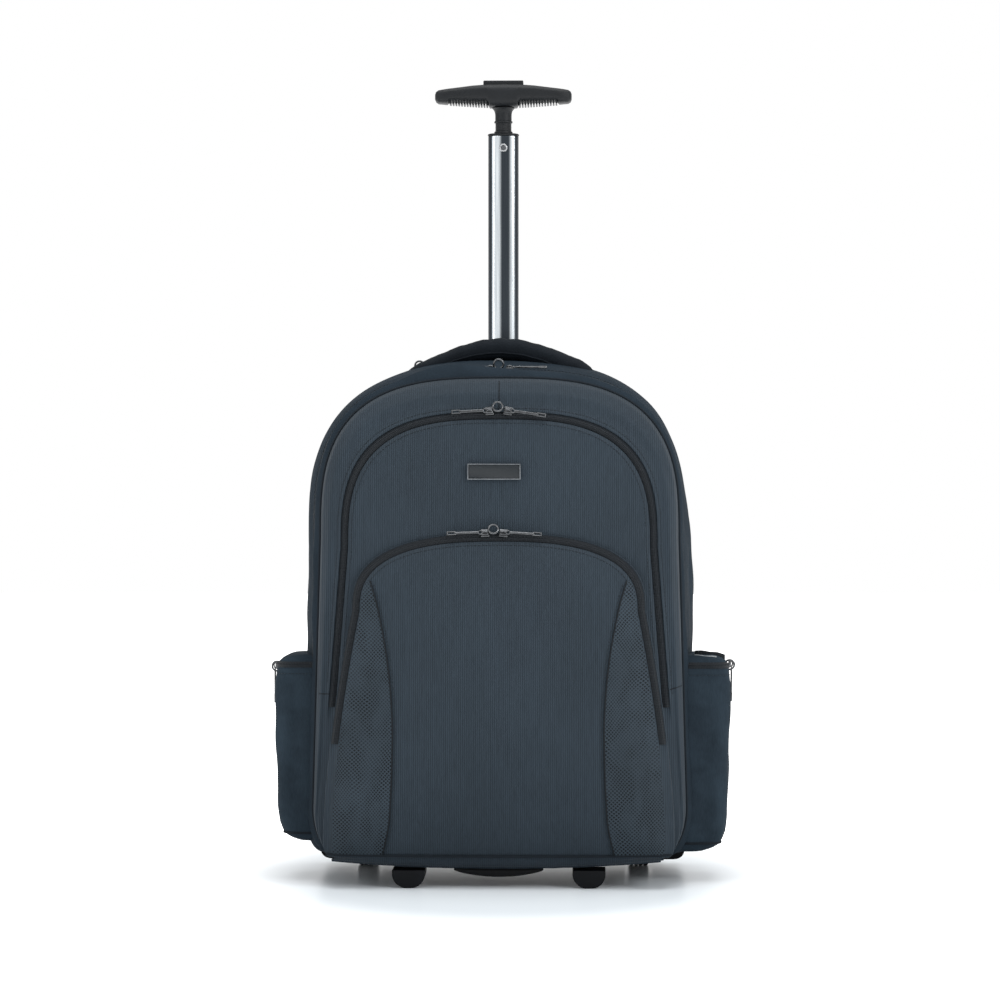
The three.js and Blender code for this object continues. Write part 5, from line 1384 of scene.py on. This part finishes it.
grip_end = np.concatenate([np.linspace(0.95, 0.985, 4), np.linspace(0.985, 1, 5)[1:]])
grip_spots = np.concatenate([-grip_end[::-1], np.linspace(-0.945, 0.945, 110), grip_end])
grip_parts = [skin([grip_section(along) for along in grip_spots], cap_first=True, cap_last=True)]
for side in (-1, 1):
    for i in range(TEETH_A_SIDE):
        x = side * (TEETH_FROM + i * TEETH_PITCH)
        section = grip_section(x / GRIP_HALF)
        low = section[:, 2].min()
        foot = low - 3.6 + 0.02 * abs(x)
        half = (section[:, 1].max() - section[:, 1].min()) / 2 - 3.4
        near, far = POLE_BEHIND - half, POLE_BEHIND + half
        grip_parts.append(rounded_block((x - 0.8, near, foot), (x + 0.8, far, low + 1.2), 0.35))
piece("grip_bar", together(*grip_parts), grip_plastic, "trolley", ["grip"])
button_near, button_far = POLE_BEHIND - 6.5, POLE_BEHIND + 6.5
button = rounded_block((-20, button_near, button_top - 8), (20, button_far, button_top), 1.2, 3)
piece("release_button", button, grip_plastic, "button", ["grip_button"])


# The back: a panel padded in upright channels and faced in airy black mesh, with two padded shoulder straps
# sewn to its top. Each strap ends in a ladder lock, and webbing runs from there to the foot of the back.
CELL_PITCH = 3.0


def air_mesh(name):
    """Thick knitted mesh with small open cells."""
    made = Finish(name, roughness=0.8, specular_ior_level=0.15)
    x, y, z = made.axes()
    one, two = (x + z * 0.58).sine(CELL_PITCH), (x - z * 0.58).sine(CELL_PITCH)
    hole = (one * two).between(0.4, 0.75)
    fine = made.noise((1.2, 1.2, 1.2), 2.0)
    yarn = made.mix(fine, screen(34, 38, 42), screen(50, 55, 60))
    made.set(base_color=made.mix(hole, yarn, screen(14, 15, 17)))
    made.relief((1 - hole) * 0.8 + fine * 0.2, 0.6)
    return made


back_mesh = air_mesh("back_mesh")
PANEL_NEAR, PANEL_FAR, PANEL_EDGE = 118.3, 126.3, 4.0
panel_outline = slimmer(body_ring(BAG_BACK, raised=True))
panel_middle = np.array([0.0, 0.0, 290.0])
UPRIGHT_CHANNELS, LEVEL_CHANNELS = (26, 128), (206, 322)
CHANNEL_DEEP, CHANNEL_WIDE = 4.8, 6.5


def back_pads(points):
    """How deep the panel's face lies below its highest pads: sewn channels run between the pads."""
    x, z = np.abs(points[:, 0]), points[:, 2]
    deep = np.zeros(len(points))
    for line in UPRIGHT_CHANNELS:
        deep = np.maximum(deep, CHANNEL_DEEP * np.exp(-(((x - line) / CHANNEL_WIDE) ** 2)))
    inside = np.clip((UPRIGHT_CHANNELS[-1] - x) / 12, 0, 1)
    for line in LEVEL_CHANNELS:
        deep = np.maximum(deep, CHANNEL_DEEP * inside * np.exp(-(((z - line) / CHANNEL_WIDE) ** 2)))
    return deep


panel_rows = []
for share in np.linspace(0, 1, 5):
    panel_rows.append(panel_outline + [0, PANEL_NEAR - BAG_BACK + PANEL_EDGE * share, 0])
for turn in np.linspace(0, math.pi / 2, 6)[1:]:
    ring = panel_outline + (panel_middle - panel_outline) * [1, 0, 1] * (0.028 * (1 - math.cos(turn)))
    ring[:, 1] = PANEL_NEAR + PANEL_EDGE * (1 + math.sin(turn))
    panel_rows.append(ring)
for spread in np.linspace(0.965, 0.02, 44):
    ring = panel_outline + (panel_middle - panel_outline) * [1, 0, 1] * (1 - spread)
    ring[:, 1] = PANEL_FAR - back_pads(ring)
    panel_rows.append(ring)
panel_skin = skin(panel_rows, cap_first=True, cap_last=True)
panel = piece("back_panel_pad", panel_skin, back_mesh, stands_for=["back_panel"])

STRAP_TABLE = {
    "drop": [0, 0.06, 0.2, 0.38, 0.56, 0.74, 0.9, 1],
    "bow": [0, 0.28, 0.72, 1, 0.98, 0.75, 0.4, 0.2],
    "lean": [0, -0.02, -0.05, 0.02, 0.22, 0.5, 0.82, 1],
    "width": [0.9, 0.98, 1, 1, 0.97, 0.92, 0.82, 0.66],
    "thickness": [0.5, 0.9, 1, 1, 1, 1, 0.85, 0.5],
}
STRAP_TOP, STRAP_END, STRAP_SEAT = (52.0, 466.0), (92.0, 176.0), 126.6
STRAP_HALF_WIDE, STRAP_HALF_THICK, STRAP_BOW = 31, 6, 20
WEBBING_END = np.array([148.0, 127.4, 96.0])
strap_cloth = smooth_cloth("strap_cloth", screen(34, 39, 43), screen(21, 25, 29))


def strap_row(drop):
    """The strap's middle, half width and half thickness at a share of its drop."""
    found = {key: float(smooth_steps(STRAP_TABLE["drop"], STRAP_TABLE[key], drop)) for key in STRAP_TABLE}
    x = STRAP_TOP[0] + (STRAP_END[0] - STRAP_TOP[0]) * found["lean"]
    z = STRAP_TOP[1] + (STRAP_END[1] - STRAP_TOP[1]) * drop
    thick = STRAP_HALF_THICK * found["thickness"]
    y = STRAP_SEAT + thick + STRAP_BOW * found["bow"]
    return np.array([x, y, z]), STRAP_HALF_WIDE * found["width"], thick


strap_spots = [strap_row(drop) for drop in np.linspace(0, 1, 60)]
strap_centres = np.array([spot[0] for spot in strap_spots])


def band_ways(centres):
    """The ways along, across and off a band that lies on the back."""
    along = np.gradient(np.asarray(centres, float), axis=0)
    along /= np.linalg.norm(along, axis=1, keepdims=True)
    across = np.stack([-along[:, 2], 0 * along[:, 0], along[:, 0]], axis=1)
    across /= np.linalg.norm(across, axis=1, keepdims=True)
    off = np.cross(across, along)
    off[off[:, 1] < 0] *= -1
    return along, across, off


along, across, off = band_ways(strap_centres)
half_wide = np.array([spot[1] for spot in strap_spots])
half_thick = np.array([spot[2] for spot in strap_spots])
strap_rows = flat_band(strap_centres, across, off, half_wide, half_thick, edge=1.0, steps=8)
strap_lines = []
for share in (-0.8, 0.8):
    aside, above = half_wide[:, None] * share, half_thick[:, None] + 0.1
    strap_lines.append(strap_centres + across * aside + off * above)
LOCK_LONG = 24
end, foot = strap_centres[-1], WEBBING_END
down = (foot - end) / np.linalg.norm(foot - end)
lock_start = end + down * 8.0
lock_end = lock_start + down * LOCK_LONG
mirror = np.array([-1, 1, 1])


def sided(made, side):
    """The same part, mirrored where it is for the left side."""
    points, faces = made
    return points * (mirror if side < 0 else 1), faces


WEB_ROWS, WEB_HALF_WIDE, WEB_HALF_THICK = 40, 12.5, 0.8
for name, side in (("left", -1), ("right", 1)):
    pad = sided(skin(strap_rows, cap_first=True, cap_last=True), side)
    strap = piece(f"strap_pad_{name}", pad, strap_cloth, stands_for=[f"shoulder_strap_{name}"])
    seams = together(*[stitches(line[2:-2], off[2:-2]) for line in strap_lines])
    piece(f"strap_stitching_{name}", sided(seams, side), thread_finish)
    bars = [rounded_block((0, -2.5, z), (LOCK_LONG, 2.5, z + 3.4), 1.2) for z in (-17, 13.6)]
    bars += [rounded_block((x, -2.0, -15), (x + 3.6, 2.0, 15), 1.2) for x in (0, 10, 20.4)]
    lock = seated(together(*bars), lock_start, down, (0, 1, 0))
    piece(f"ladder_lock_{name}", sided(lock, side), black_plastic, stands_for=[f"strap_buckle_{name}"])
    line = even_steps([end - down * 4, lock_start + down * 2, lock_end + down * 1.5, foot], WEB_ROWS)
    _, web_across, web_off = band_ways(line)
    wide, thick = [WEB_HALF_WIDE] * len(line), [WEB_HALF_THICK] * len(line)
    rows = flat_band(line, web_across, web_off, wide, thick)
    run = np.repeat(run_along(line)[:, None], len(rows[0]), axis=1)
    made = sided(skin(rows, cap_first=True, cap_last=True), side)
    piece(f"strap_web_{name}", made, webbing_finish, stands_for=[f"strap_webbing_{name}"], run=run)
